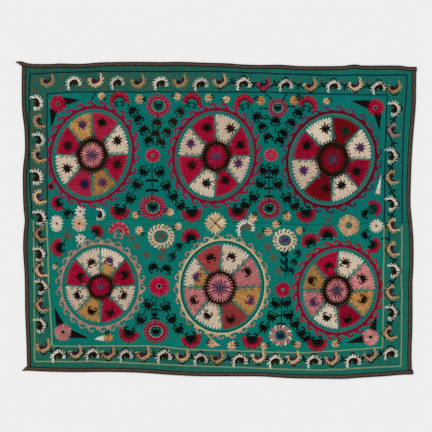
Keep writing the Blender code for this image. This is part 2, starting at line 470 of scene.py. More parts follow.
def made_piece(name: str, points: Array, quads: Array, slot: str,
               materials: Iterable[Material], maps: dict[str, Array],
               numbers: dict[str, Array], replaced: str | None = None) -> Piece:
    """Makes a smooth piece of four-sided faces that rides on the one body.

    Args:
        name: the piece's name.
        points: x, y and z of each point.
        quads: the four points of each face.
        slot: the material slot meant for it; not used.
        materials: its materials.
        maps: its UV maps, one place for each point.
        numbers: its attributes, one number for each point.
        replaced: the CAD node that it takes the place of.

    Returns:
        The piece.
    """
    mesh = bpy.data.meshes.new(name)
    mesh.vertices.add(len(points))
    mesh.vertices.foreach_set("co", (points * MM).ravel())
    mesh.loops.add(quads.size)
    mesh.loops.foreach_set("vertex_index", quads.ravel())
    mesh.polygons.add(len(quads))
    mesh.polygons.foreach_set("loop_start", np.arange(len(quads)) * 4)
    mesh.update(calc_edges=True)
    mesh.shade_smooth()
    for title, places in maps.items():
        layer = mesh.uv_layers.new(name=title)
        layer.uv.foreach_set("vector", places[quads.ravel()].astype(np.float32).ravel())
    for title, values in numbers.items():
        mesh.attributes.new(title, "FLOAT", "POINT").data.foreach_set(
            "value", values.astype(np.float32))
    for material in materials:
        mesh.materials.append(material)
    piece = bpy.data.objects.new(name, mesh)
    bpy.context.scene.collection.objects.link(piece)
    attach(piece, "root")
    if replaced:
        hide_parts(replaced)
    return piece


def grid_quads(rows: int, columns: int, around: bool = False) -> Array:
    """Faces of a grid of points that runs row by row, closed round its columns if asked.

    Args:
        rows: how many rows of points.
        columns: how many points each row has.
        around: whether each row closes into a ring.

    Returns:
        Four point numbers for each face.
    """
    i, j = np.meshgrid(np.arange(rows - 1), np.arange(columns - (not around)), indexing="ij")
    here, beside = i * columns + j, i * columns + (j + 1) % columns
    return np.stack((here, beside, beside + columns, here + columns), -1).reshape(-1, 4)


def filled_square(points: Array) -> Array:
    """Places of the points seen from above, spread over a unit square with a small margin."""
    low, high = points[:, :2].min(0), points[:, :2].max(0)
    return 0.01 + 0.98 * (points[:, :2] - low) / (high - low)


@dataclass
class ClothWidth:
    """One woven width of cotton, from a low long edge to a high one."""

    name: str
    node: str
    finish: CottonFinish
    slot: str
    low_edge: Callable[[Array], Array]
    high_edge: Callable[[Array], Array]
    long: float = 2150.0
    wide: float = 870.0
    spacing: float = 8.5
    band_fades: float = 12.0
    band_full: float = 1.0
    band_loss: float = 0.65
    band_greens: tuple[float, float] = (-350.0, 500.0)

    def band(self, x: Array, y: Array) -> Array:
        """How far a place is in the darker border band: 1 in it, 0 in the field.

        Args:
            x: places across the cloth.
            y: places up the cloth.

        Returns:
            How strong the band is at each place.
        """
        inside = ease(GUARDS.inward(x, y), -self.band_fades, self.band_fades)
        greened = self.band_loss * ease(x, *self.band_greens)
        return (1 - inside) * (self.band_full - greened)

    def build(self) -> Piece:
        """Makes the width with its thickness, weave and border band.

        Returns:
            The cloth's piece.
        """
        columns, rows = round(self.long / self.spacing), round(self.wide / self.spacing)
        u, v = np.meshgrid(np.linspace(0, 1, columns + 1), np.linspace(0, 1, rows + 1))
        x = np.zeros_like(u)
        for _ in range(5):
            y = self.low_edge(x) + (self.high_edge(x) - self.low_edge(x)) * v
            left = through(CLOTH.left, y) + CLOTH.inset
            x = left + (through(CLOTH.right, y) - CLOTH.inset - left) * u
        low = CLOTH.underside(x, y)
        face = np.stack((x, y, low + CLOTH.thickness), -1).reshape(-1, 3)
        under = np.stack((x, y, low), -1).reshape(-1, 3)
        quads = grid_quads(rows + 1, columns + 1)
        count, step = len(face), columns + 1
        rim = np.concatenate((
            np.arange(step), np.arange(1, rows + 1) * step + columns,
            rows * step + np.arange(columns - 1, -1, -1), np.arange(rows - 1, 0, -1) * step,
        ))
        after = np.roll(rim, -1)
        walls = np.stack((rim + count, after + count, after, rim), -1)
        flat = filled_square(face)
        band = self.band(x.ravel(), y.ravel())
        return made_piece(
            self.name, np.concatenate((face, under)),
            np.concatenate((quads, quads[:, ::-1] + count, walls)), self.slot,
            [self.finish.material()],
            {"OFBake": np.concatenate((flat * (1, 0.64), flat * (1, 0.34) + (0, 0.66)))},
            {"band": np.concatenate((band, band))}, self.node,
        )


@dataclass
class Braid:
    """A dark braid folded over one edge of the cloth."""

    name: str
    node: str
    finish: BraidFinish
    width: float = 22.0
    wall: float = 0.8
    slot: float = 2.2
    bend_radius: float = 1.4
    tail_width: float = 5.0
    tail_slot: float = 0.5
    spacing: float = 4.0
    plait_pitch: float = 11.0
    plait_height: float = 0.22
    bend_steps: int = 5
    lip_steps: int = 9

    def section(self, lip: float, slot: float) -> tuple[Array, Array, Array]:
        """The fold's closed section, as rows of distance in from the edge, and height.

        Args:
            lip: how far the fold reaches in from the edge.
            slot: the opening between its two sides.

        Returns:
            Its points, the outward direction at each, and each point's share across the braid.
        """
        height = 2 * self.wall + slot
        radius = min(self.bend_radius, height / 2)
        lower = [(d, 0.0) for d in np.linspace(lip, radius * 1.5, self.lip_steps)]
        turns = np.linspace(0, math.pi / 2, self.bend_steps)
        lower += [(radius * (1 - math.sin(t)), radius * (1 - math.cos(t))) for t in turns]
        outer = np.array(lower + [(d, height - z) for d, z in reversed(lower)])
        step = np.gradient(outer, axis=0)
        normal = np.stack((-step[:, 1], step[:, 0]), -1)
        normal /= np.linalg.norm(normal, axis=1)[:, None]
        inner = (outer + normal * self.wall)[::-1]
        across = 1 - np.clip(outer[:, 0] / lip, 0, 1)
        return (np.concatenate((outer, inner)), np.concatenate((-normal, normal[::-1])),
                np.concatenate((across, across[::-1])))

    def sweep(self, places: Callable[[Array, float], Array],
              sections: Sequence[tuple[Array, ...]], alongs: Array) -> Piece:
        """Sweeps the sections along the edge, with raised plaits on the outside.

        Args:
            places: gives x and y from distances in, and a length along.
            sections: one section for each place along.
            alongs: the lengths along the edge.

        Returns:
            The braid's piece.
        """
        points, maps = [], []
        for along, (rows, normals, across) in zip(alongs, sections, strict=True):
            wave = np.cos(2 * math.pi * (along + 0.9 * self.width * np.abs(across - 0.5))
                          / self.plait_pitch)
            raised = np.where(np.arange(len(rows)) < len(rows) // 2, wave * self.plait_height, 0)
            raised *= np.clip(np.minimum(across, 1 - across) * 9, 0, 1)
            moved = rows + normals * raised[:, None]
            points.append(np.column_stack((places(moved[:, 0], along),
                                           np.maximum(moved[:, 1], 0))))
            maps.append(np.column_stack((np.full(len(rows), along * MM), across)))
        count = len(sections[0][0])
        half = count // 2
        cap = np.array([[i, i + 1, count - 2 - i, count - 1 - i] for i in range(half - 1)])
        quads = np.concatenate((grid_quads(len(points), count, around=True), cap[:, ::-1],
                                cap + (len(points) - 1) * count))
        return made_piece(self.name, np.concatenate(points), quads, "edge_braid",
                          [self.finish.material()], {"braid": np.concatenate(maps)}, {},
                          self.node)


@dataclass
class LongBraid(Braid):
    """The braid over the top or bottom edge, with a loose end at the left corner."""

    edge: Rows = CLOTH.top
    inward: int = -1
    tip: float = -1102.0
    root: float = -1070.0
    stub: float = 3.0

    def build(self) -> Piece:
        """Makes the long braid.

        Returns:
            The braid's piece.
        """
        middle = float(through(self.edge, np.array([0.0]))[0])
        end = float(through(CLOTH.right, np.array([middle]))[0]) + self.stub
        alongs = np.linspace(0, end - self.tip, round((end - self.tip) / self.spacing))
        opened = ease(self.tip + alongs, self.tip, self.root)
        sections = [self.section(self.tail_width + (self.width - self.tail_width) * share,
                                 self.tail_slot + (self.slot - self.tail_slot) * share)
                    for share in opened]

        def places(distance: Array, along: float) -> Array:
            """x and y of a section's points.

            Args:
                distance: how far in from the edge each point is.
                along: how far along the braid its section is.

            Returns:
                The x and y of each point.
            """
            x = np.full_like(distance, self.tip + along)
            for _ in range(4):
                y = through(self.edge, x) + self.inward * distance
                reach = (through(CLOTH.right, y) + self.stub - self.tip) / alongs[-1]
                x = self.tip + reach * along
            return np.column_stack((x, y))

        return self.sweep(places, sections, alongs)


@dataclass
class SideBraid(Braid):
    """The braid over a side edge, butted between the long braids."""

    edge: Rows = CLOTH.left
    inward: int = 1

    def build(self) -> Piece:
        """Makes the side braid.

        Returns:
            The braid's piece.
        """
        butt = self.width + CLOTH.piece_gap
        middle = through(self.edge, np.array([0.0]))
        full = float((through(CLOTH.top, middle) - through(CLOTH.bottom, middle))[0]) - 2 * butt
        alongs = np.linspace(0, full, round(full / self.spacing))

        def places(distance: Array, along: float) -> Array:
            """x and y of a section's points.

            Args:
                distance: how far in from the edge each point is.
                along: how far along the braid its section is.

            Returns:
                The x and y of each point.
            """
            x = np.full_like(distance, middle[0])
            for _ in range(4):
                low = through(CLOTH.bottom, x) + butt
                y = low + (through(CLOTH.top, x) - butt - low) * along / full
                x = through(self.edge, y) + self.inward * distance
            return np.column_stack((x, y))

        return self.sweep(places, [self.section(self.width, self.slot)] * len(alongs), alongs)


def placed(points: Shape, centre: Array, degrees: float = 0.0, scale: float = 1.0,
           mirrored: bool = False) -> Array:
    """Puts a shape's points on the cloth, mirrored if asked, scaled and turned."""
    shape = np.array(points, float) * (-scale if mirrored else scale, scale)
    return centre + shape[:, :1] * toward(degrees) + shape[:, 1:] * toward(degrees + 90)


def toward(degrees: float | Array) -> Array:
    """The unit step in a direction, anticlockwise from the right."""
    turn = np.radians(degrees)
    return np.stack((np.cos(turn), np.sin(turn)), -1)


def heading_of(step: Array) -> float:
    """The direction of a step, in degrees."""
    return math.degrees(math.atan2(step[1], step[0]))


def flowing(points: Array, closed: bool = False, spacing: float = 4.0) -> Array:
    """A smooth line through points, with even steps.

    Args:
        points: the places it goes through.
        closed: whether it comes back to its start.
        spacing: the step along it.

    Returns:
        The line's points.
    """
    points = np.asarray(points, float)
    if closed:
        ring = np.concatenate((points[-1:], points, points[:2]))
    else:
        ring = np.concatenate((2 * points[:1] - points[1:2], points,
                               2 * points[-1:] - points[-2:-1]))
    t = np.linspace(0, 1, 9)[:-1, None]
    parts = [
        0.5 * (2 * b + (c - a) * t + (2 * a - 5 * b + 4 * c - d) * t**2
               + (3 * b - a - 3 * c + d) * t**3)
        for a, b, c, d in zip(ring[:-3], ring[1:-2], ring[2:-1], ring[3:], strict=True)
    ]
    line = np.concatenate((*parts, ring[-2:-1]))
    lengths = lengths_along(line)
    steps = np.linspace(0, lengths[-1], max(3, round(lengths[-1] / spacing) + 1))
    return np.stack([np.interp(steps, lengths, line[:, axis]) for axis in (0, 1)], -1)


def lengths_along(path: Array) -> Array:
    """How far along a path each of its points is."""
    return np.concatenate(([0], np.cumsum(np.linalg.norm(np.diff(path, axis=0), axis=1))))


def left_of(path: Array) -> Array:
    """The unit step to the left of a path, at each of its points.

    Args:
        path: its points.

    Returns:
        The step at each point.
    """
    step = np.gradient(path, axis=0)
    step /= np.maximum(np.linalg.norm(step, axis=1), 1e-9)[:, None]
    return np.stack((-step[:, 1], step[:, 0]), -1)


def oval_spot(centre: Array, radii: Sequence[float], degrees: float | Array,
              lean: float = 0.0) -> Array:
    """Places on an oval that may bulge at its upper right and lower left."""
    bulge = lean * np.sin(2 * np.radians(degrees))
    return centre + toward(degrees) * (np.asarray(radii) + np.asarray(bulge)[..., None])


def oval(centre: Array, radii: Sequence[float], steps: int = 96,
         lean: float = 0.0) -> Array:
    """A closed oval, as points that start at the right and go anticlockwise."""
    return oval_spot(centre, radii, np.linspace(0, 360, steps, endpoint=False), lean)


# Widths along a tapering row, from its root to its tip, as shares of the widest
CLAW = (0.9, 1.0, 0.95, 0.76, 0.34)
PETAL = (0.6, 0.85, 1.0, 1.0, 0.6)
LEAF = (0.45, 0.95, 1.0, 0.8, 0.15)
TOOTH = (1.0, 1.0, 0.92, 0.76, 0.45)


class Stitching:
    """One piece of embroidery: every stitched row of it is a low ridge laid on the cloth."""

    # Height of a ridge and how deep its edges sink, its usual width, and how far ridges overlap
    LOFT, SUNK, RIDGE, OVERLAP = 1.0, 0.25, 3.6, 1.35
    # In a filled shape: the shortest row, the step along one, and how far it strays
    SHORTEST, STEP, STRAY = 2.2, 14.0, 0.25
    # Room for the stitch map's random starts, in mm along and in cm across
    STARTS_ALONG, STARTS_ACROSS = 900.0, 90.0

    def __init__(self, name: str, seed: int) -> None:
        """Starts an empty piece.

        Args:
            name: the piece's name.
            seed: where its random draws start.
        """
        self.name = name
        self.draw = np.random.default_rng(seed)
        self.rows: list[tuple[Thread, Array, Array, Array, float, float]] = []
        self.tone = 0.0

    def row(self, thread: Thread, path: Array, width: Sizes,
            height: Sizes = LOFT, lift: float = 0.0,
            stray: float = 0.5) -> None:
        """Lays one ridge of thread.

        Args:
            thread: its silk.
            path: its points.
            width: its whole width, one number or one for each point.
            height: its crest's height, one number or one for each point.
            lift: how far it sits above the cloth's face.
            stray: how far its dye, and the painted shade that goes with it, may differ from its
                neighbours'.
        """
        wide, high = (np.broadcast_to(np.asarray(size, float), len(path))
                      for size in (width, height))
        tone = self.tone + self.draw.uniform(-stray, stray)
        self.rows.append((thread, path, wide, high, lift, tone))

    def stroke(self, thread: Thread, points: Array, width: float = 4.0,
               lift: float = 0.0, closed: bool = False, tip: float = 1.0) -> None:
        """Lays a line of one or more ridges side by side.

        Args:
            thread: its silk.
            points: the places it goes through.
            width: the line's whole width.
            lift: how far it sits above the cloth's face.
            closed: whether it comes back to its start.
            tip: the width at its end, as a share of the whole.
        """
        path = flowing(points, closed, min(6.0, 2.0 + width / 2))
        ridges = max(1, round(width / self.RIDGE))
        share = np.linspace(1, tip, len(path))
        for index in range(ridges):
            off = ((index + 0.5) / ridges - 0.5) * width
            moved = path + left_of(path) * (off * share)[:, None]
            self.row(thread, moved, share * width / ridges * self.OVERLAP, self.LOFT, lift)

    def claw(self, thread: Thread, root: Array, heading: float, length: float,
             width: float, bend: float = 0.0, lift: float = 0.0,
             shape: Sequence[float] = CLAW) -> None:
        """Lays one tooth or petal.

        Args:
            thread: its silk.
            root: where it grows from.
            heading: its direction, in degrees.
            length: its length.
            width: its greatest width.
            bend: how far its tip turns from its heading, in degrees.
            lift: how far it sits above the cloth's face.
            shape: its widths along it, as shares of the greatest.
        """
        steps = toward(heading + bend * np.linspace(0.25, 1, 4)) * length / 4
        path = root + np.concatenate(([[0, 0]], np.cumsum(steps, axis=0)))
        self.row(thread, path, np.array(shape) * width, (0.9, 1.1, 1.1, 1.0, 0.55), lift)

    def fill(self, thread: Thread, outline: Array, degrees: float = 0.0,
             pitch: float = 4.2, lift: float = 0.0) -> None:
        """Fills a closed outline with rows side by side.

        Args:
            thread: its silk.
            outline: the outline.
            degrees: the rows' direction.
            pitch: the distance between rows.
            lift: how far they sit above the cloth's face.
        """
        along_row, across_rows = toward(degrees), toward(degrees + 90)
        starts = np.stack((outline @ along_row, outline @ across_rows), -1)
        ends = np.roll(starts, -1, axis=0)
        low, high = starts[:, 1].min(), starts[:, 1].max()
        for level in np.arange(low + pitch * self.draw.uniform(0.3, 0.6), high, pitch):
            hit = (starts[:, 1] <= level) != (ends[:, 1] <= level)
            a, b = starts[hit], ends[hit]
            crossings = np.sort(
                a[:, 0] + (level - a[:, 1]) / (b[:, 1] - a[:, 1]) * (b[:, 0] - a[:, 0]))
            for left, right in zip(crossings[::2], crossings[1::2], strict=False):
                if right - left < self.SHORTEST:
                    continue
                count = max(3, 2 + round((right - left) / self.STEP))
                level_at = level + self.draw.normal(0, self.STRAY, count)
                path = (np.linspace(left, right, count)[:, None] * along_row
                        + level_at[:, None] * across_rows)
                shape = np.ones(count)
                shape[[0, -1]] = 0.6
                self.row(thread, path, pitch * 1.4 * shape, self.LOFT * (0.2 + 0.8 * shape),
                         lift, 0.28)

    def satin(self, thread: Thread, points: Array, half: Sizes,
              pitch: float = 3.4, closed: bool = False, lift: float = 0.0) -> None:
        """Covers a band with short rows that cross it.

        Args:
            thread: its silk.
            points: the places its middle goes through.
            half: half its width, one number or several spread evenly along it.
            pitch: the distance between rows.
            closed: whether it comes back to its start.
            lift: how far the rows sit above the cloth's face.
        """
        path = flowing(points, closed, pitch)
        if closed:
            path = path[:-1]
        sizes = np.atleast_1d(np.asarray(half, float))
        halves = np.interp(np.linspace(0, 1, len(path)), np.linspace(0, 1, len(sizes)), sizes)
        for spot, out, reach in zip(path, left_of(path), halves, strict=True):
            across = reach * np.array((-1, -0.4, 0.4, 1)) + self.draw.uniform(-0.3, 0.3)
            self.row(thread, spot + across[:, None] * out,
                     np.array((0.9, 1.36, 1.36, 0.9)) * pitch, (0.5, 1.0, 1.0, 0.5), lift, 0.35)

    def spokes(self, thread: Thread, centre: Array, start: float,
               reach: Sizes, count: int, root: float = 1.35,
               tip: float = 1.35, lift: float = 0.0, turn: float = 0.0,
               uneven: float = 0.0) -> None:
        """Lays rows that run out from a centre, such as petals or a disc's.

        Args:
            thread: its silk.
            centre: the middle that they run out from.
            start: how far out they start.
            reach: how far out they end, once or across and up.
            count: how many there are.
            root: their width at the start, as a share of the room there.
            tip: their width at the end, as a share of the room there.
            lift: how far they sit above the cloth's face.
            turn: the first one's direction, in degrees.
            uneven: how much their lengths vary, as a share.
        """
        t = np.linspace(0, 1, 5)[:, None]
        for index in range(count):
            far = np.asarray(reach, float) * (1 + uneven * self.draw.uniform(-1, 1))
            path = centre + toward(turn + 360 * index / count) * (start + (far - start) * t)
            room = 2 * math.pi / count * np.linalg.norm(path - centre, axis=1)
            share = root + (tip - root) * t[:, 0] ** 1.5
            self.row(thread, path, np.maximum(room * share, 0.8), (0.5, 1.0, 1.05, 0.9, 0.4),
                     lift)

    def build(self) -> Piece:
        """Makes the piece's mesh, UV maps and materials.

        Returns:
            The embroidery's piece.
        """
        threads, paths, widths, heights, lifts, tones = zip(*self.rows, strict=True)
        counts = np.array([len(path) for path in paths])
        centres = np.concatenate(paths)
        halves = np.concatenate(widths)[:, None] / 2
        sides = np.concatenate([left_of(path) for path in paths]) * halves
        base = CLOTH.face(centres[:, 0], centres[:, 1]) + np.repeat(lifts, counts)
        edge = base - self.SUNK
        points = np.stack((
            np.column_stack((centres + sides, edge)),
            np.column_stack((centres, base + np.concatenate(heights))),
            np.column_stack((centres - sides, edge)),
        ), 1).reshape(-1, 3)
        inside = np.ones(len(centres), bool)
        inside[np.cumsum(counts) - 1] = False
        here = np.nonzero(inside)[0][:, None] * 3
        quads = np.concatenate((here + (1, 0, 3, 4), here + (2, 1, 4, 5)))
        along = np.concatenate([lengths_along(path) + self.draw.uniform(0, self.STARTS_ALONG)
                                for path in paths])
        starts = np.repeat(self.draw.uniform(0, self.STARTS_ACROSS, len(counts)),
                           counts)[:, None]
        across = starts + halves / 10 * (1, 0, -1)
        used = list(dict.fromkeys(threads))
        piece = made_piece(
            self.name, points, quads, "embroidery_thread", [silk(thread) for thread in used],
            {"stitch": np.column_stack((np.repeat(along / 10, 3), across.ravel())),
             "OFBake": filled_square(points)},
            {"tone": np.repeat(np.repeat(tones, counts), 3)},
        )
        slots = np.repeat([used.index(thread) for thread in threads], counts)[inside]
        piece.data.polygons.foreach_set(
            "material_index", np.concatenate((slots, slots)).astype(np.int32))
        return piece


SILKS: dict[Thread, Material] = {}


def silk(thread: Thread) -> Material:
    """The one material of a silk colour, made when it is first used.

    Args:
        thread: which silk.

    Returns:
        Its material.
    """
    if thread not in SILKS:
        SILKS[thread] = SilkFinish(thread).material()
    return SILKS[thread]


@dataclass(frozen=True)
class Motif:
    """Something stitched at a place of its own, given in photo pixels."""

    across: float
    down: float

    @property
    def centre(self) -> Array:
        """The motif's middle on the cloth."""
        return photo_spot(self.across, self.down)

    def stitch(self, work: Stitching) -> None:
        """Stitches the motif."""
        raise NotImplementedError


# The curled horn at a flower's foot, for a flower that faces up and reaches out to 1
HORN = ((0.2, 0.0), (0.5, -0.1), (0.7, -0.36), (0.64, -0.7), (0.4, -0.8), (0.27, -0.6))


def horns(work: Stitching, thread: Thread, centre: Array, facing: float, size: float,
          width: float, lift: float) -> None:
    """Stitches the two curled horns at a flower's foot.

    Args:
        work: the piece that they go in.
        thread: their silk.
        centre: the flower's middle.
        facing: its direction.
        size: how far it reaches.
        width: their width.
        lift: how far they sit above the cloth's face.
    """
    for mirrored in (False, True):
        work.stroke(thread, placed(HORN, centre, facing - 90, size, mirrored), width, lift,
                    tip=0.8)


@dataclass(frozen=True)
class Floret(Motif):
    """A dark palmette: a fan of spikes on one side and two curled horns on the other."""

    facing: float = 90.0
    thread: Thread = BLACK
    radius: float = 33.0
    spikes: int = 7
    fan: float = 225.0
    lift: float = 0.0
    horned: bool = True

    def stitch(self, work: Stitching) -> None:
        """Stitches the body, the fan and the horns.

        Args:
            work: the piece that it goes in.
        """
        size = self.radius
        for side in (-0.2, 0.2):
            work.spokes(self.thread, self.centre + toward(self.facing + 90) * size * side, 0.5,
                        size * 0.42, 8, lift=self.lift)
        for share in np.linspace(-0.5, 0.5, self.spikes):
            heading = self.facing + self.fan * share
            length = size * (0.68 + 0.22 * abs(share)) * work.draw.uniform(0.8, 1.14)
            work.claw(self.thread, self.centre + toward(heading) * size * 0.24, heading,
                      length, size * 0.32, 40 * share, self.lift)
        if self.horned:
            horns(work, self.thread, self.centre, self.facing, size, size * 0.24, self.lift)


@dataclass(frozen=True)
class Stem(Motif):
    """A stitched stem through several spots, with florets where asked."""

    spots: Rows = ()
    thread: Thread = BLACK
    width: float = 4.8
    floret_radius: float = 0.0

    def stitch(self, work: Stitching) -> None:
        """Stitches the stem, then a floret at each spot that faces back along it.

        Args:
            work: the piece that it goes in.
        """
        line = np.array([photo_spot(*spot) for spot in ((self.across, self.down), *self.spots)])
        work.stroke(self.thread, line, self.width)
        if self.floret_radius:
            for spot, step in zip(self.spots, line[:-1] - line[1:], strict=True):
                Floret(*spot, heading_of(step), self.thread, self.floret_radius).stitch(work)


@dataclass(frozen=True)
class LeafPair(Motif):
    """Two curved leaves that spring from a stem and bend back beside it."""

    facing: float = 90.0
    thread: Thread = BLACK
    length: float = 37.0
    bend: float = 75.0

    def stitch(self, work: Stitching) -> None:
        """Stitches both leaves.

        Args:
            work: the piece that it goes in.
        """
        for side in (1, -1):
            work.claw(self.thread, self.centre, self.facing + side * 58, self.length * 1.15,
                      self.length * 0.5, side * self.bend, shape=LEAF)


# A scroll's wedge and its hook, as steps anticlockwise along a ring and out from it
WEDGE = ((-26, -3), (-27, 9), (-24, 27), (-16, 17), (-11, 24), (-4, 18), (5, 10), (9, -3))
HOOK = ((-9, 6), (-6, 20), (2, 32), (13, 37), (23, 33), (27, 23), (23, 16))
SCROLL_REACH = 41.0
SCROLL_SPACING = 64.0
SHORTEST_SCROLL = 0.45
# No limit to a ring's scrolls, as the least and the greatest x
FREE = (-1e6, 1e6)


@dataclass(frozen=True)
class ScrollRing:
    """A stitched ring with wedges and curled hooks all round its outside.

    The hooks are cut short where they would run past x between ends.
    """

    centre: Array
    radii: Array
    lean: float
    reach: float
    count: int
    ring: Thread
    wedge: Thread
    hook: Thread
    width: float
    ends: Spot = FREE

    def stitch(self, work: Stitching) -> None:
        """Stitches the ring, then each wedge with its hook.

        Args:
            work: the piece that it goes in.
        """
        work.satin(self.ring, oval(self.centre, self.radii, 60, self.lean), self.width / 2,
                   3.6, closed=True)
        along = math.pi * self.radii.sum() / self.count / SCROLL_SPACING
        for index in range(self.count):
            degrees = 360 * (index + work.draw.uniform(0.42, 0.58)) / self.count
            spot = oval_spot(self.centre, self.radii + self.width * 0.3, degrees, self.lean)
            out = heading_of(toward(degrees) / self.radii)
            side = toward(out)[0]
            room = (self.ends[int(side > 0)] - spot[0]) / (side or 1e-6)
            reach = max(min(self.reach, room), self.reach * SHORTEST_SCROLL)
            stretch = (along, reach / SCROLL_REACH * work.draw.uniform(0.9, 1.1))
            wedge, hook = (placed(np.array(shape) * stretch, spot, out - 90, 1.0, True)
                           for shape in (WEDGE, HOOK))
            work.tone = work.draw.uniform(-0.4, 0.4)
            work.fill(self.wedge, wedge, out, 3.2)
            work.stroke(self.hook, hook, self.width * 0.66, 0.15, tip=0.75)
        work.tone = 0.0


@dataclass(frozen=True)
class RingFlower(Motif):
    """A small ring of hooked petals, with a palmette inside that hangs from its stem."""

    outer: float = 70.0
    inner: float = 39.0
    thread: Thread = CRIMSON
    hooks: int = 20
    sprig: Thread = BLACK
    sprig_facing: float = -90.0
    rim: Thread = MAGENTA
    band: float = 17.0
    squash: float = 0.88

    def stitch(self, work: Stitching) -> None:
        """Stitches the band, its hooked petals, the pale line in it and the palmette.

        Args:
            work: the piece that it goes in.
        """
        hole = np.array((self.inner, self.inner * self.squash))
        work.satin(self.thread, oval(self.centre, hole + self.band / 2, 40), self.band / 2,
                   closed=True)
        reach = self.outer - self.inner - self.band
        room = math.tau * (self.inner + self.band) / self.hooks
        for index in range(self.hooks):
            step = toward(360 * (index + 0.5) / self.hooks) * (hole + self.band * 0.75)
            work.claw(self.rim if index % 2 else self.thread, self.centre + step,
                      heading_of(step) + 30, reach * 1.7, room * 0.74, -110, 0.1, PETAL)
        work.stroke(DUSTY, oval(self.centre, hole, 40), 3.0, 0.1, closed=True)
        Floret(self.across, self.down, self.sprig_facing, self.sprig,
               self.inner * 0.85).stitch(work)


@dataclass(frozen=True)
class Carnation(Motif):
    """A scalloped dome, toothed inside its mouth, with a dark palmette or horns at its foot."""

    facing: float = 90.0
    thread: Thread = CRIMSON
    base: Thread = BLACK
    radius: float = 56.0
    core: float = 0.62
    spread: float = 205.0
    rim: Thread = DEEP
    scallops: int = 13

    def stitch(self, work: Stitching) -> None:
        """Stitches the dome and its scallops, then the dark teeth and the foot.

        Args:
            work: the piece that it goes in.
        """
        size = self.radius
        step = toward(self.facing) * size
        foot = self.centre - step * 0.3
        arc = self.facing + np.linspace(-0.5, 0.5, 9) * self.spread
        halves = size * np.array((0.12, 0.2, 0.24, 0.26, 0.26, 0.26, 0.24, 0.2, 0.12))
        work.satin(self.thread, foot + toward(arc) * size * 0.66, halves)
        for index in range(self.scallops):
            share = (index + 0.5) / self.scallops - 0.5
            heading = self.facing + self.spread * share
            work.claw(self.rim if index % 2 else self.thread,
                      foot + toward(heading) * size * (0.84 - 0.16 * abs(share)), heading,
                      size * 0.22, size * 0.25, 50 * share, 0.1, PETAL)
            work.claw(self.base, foot + toward(heading) * size * 0.58, heading + 180,
                      size * work.draw.uniform(0.1, 0.22), size * 0.12, 0, 0.6)
        if self.core:
            spot = foot + step * 0.04
            Floret(spot[0] / PIXEL + MIDDLE_ACROSS, MIDDLE_DOWN - spot[1] / PIXEL, self.facing,
                   self.base, size * self.core, lift=0.8).stitch(work)
        else:
            horns(work, self.base, foot, self.facing, size * 0.55, size * 0.13, 0.5)


@dataclass(frozen=True)
class Daisy(Motif):
    """A round or upright flower of pointed petals with a ringed eye."""

    radius: float = 45.0
    thread: Thread = CRIMSON
    petals: int = 16
    eye: Thread = BLACK
    eye_ring: Thread = SAGE
    eye_radius: float = 10.0
    tips: Thread | None = None
    point: float = 0.95
    upright: float = 1.0

    def stitch(self, work: Stitching) -> None:
        """Stitches the petals from the eye out.

        Args:
            work: the piece that it goes in.
        """
        reach = self.radius * np.array((1, self.upright))
        work.spokes(self.tips or self.thread, self.centre, self.eye_radius, reach, self.petals,
                    1.25, self.point, uneven=0.05)
        work.spokes(self.thread, self.centre, self.eye_radius, reach * 0.7, self.petals * 2,
                    1.4, 1.1, 0.15, 180 / self.petals)
        work.stroke(self.eye_ring, oval(self.centre, (self.eye_radius,) * 2, 16), 3.4, 0.4,
                    closed=True)
        work.spokes(self.eye, self.centre, 0.4, self.eye_radius * 0.75, 8, lift=0.5)


@dataclass(frozen=True)
class SmallFlower(Motif):
    """A little flower of eight parted petals, with two dark leaves behind it if asked."""

    radius: float = 22.0
    thread: Thread = PEACH
    leaf_facing: float | None = None
    petals: int = 8

    def stitch(self, work: Stitching) -> None:
        """Stitches the leaves, the petals and the eye.

        Args:
            work: the piece that it goes in.
        """
        size = self.radius
        if self.leaf_facing is not None:
            for side in (-26, 26):
                work.claw(LEAF_GREEN, self.centre, self.leaf_facing + side, size * 1.7,
                          size * 0.75, -side, shape=LEAF)
        for index in range(self.petals):
            angle = 360 * (index + 0.5) / self.petals
            work.claw(self.thread, self.centre + toward(angle) * size * 0.15, angle,
                      size * work.draw.uniform(0.82, 1.0), size * 0.42, 0, 0.3, PETAL)
        work.spokes(self.thread, self.centre, 0.5, size * 0.5, 8, lift=0.35)
        work.spokes(BRICK, self.centre, 0.3, size * 0.24, 6, lift=0.9)


@dataclass(frozen=True)
class LeafSpike(Motif):
    """A long leaf that runs to a point, with faintly toothed edges."""

    tip: Spot = (0.0, 0.0)
    half: float = 24.0
    thread: Thread = SPIKE

    def stitch(self, work: Stitching) -> None:
        """Fills the leaf from its base to its tip.

        Args:
            work: the piece that it goes in.
        """
        axis = photo_spot(*self.tip) - self.centre
        shares = np.linspace(0, 1, 13)
        edge = self.half * (1 - shares) ** 0.85
        edge[1::2] *= 0.9
        side = toward(heading_of(axis) + 90) * edge[:, None]
        middle = self.centre + axis * shares[:, None]
        work.fill(self.thread, np.concatenate((middle + side, (middle - side)[::-1])),
                  heading_of(axis), 3.6)


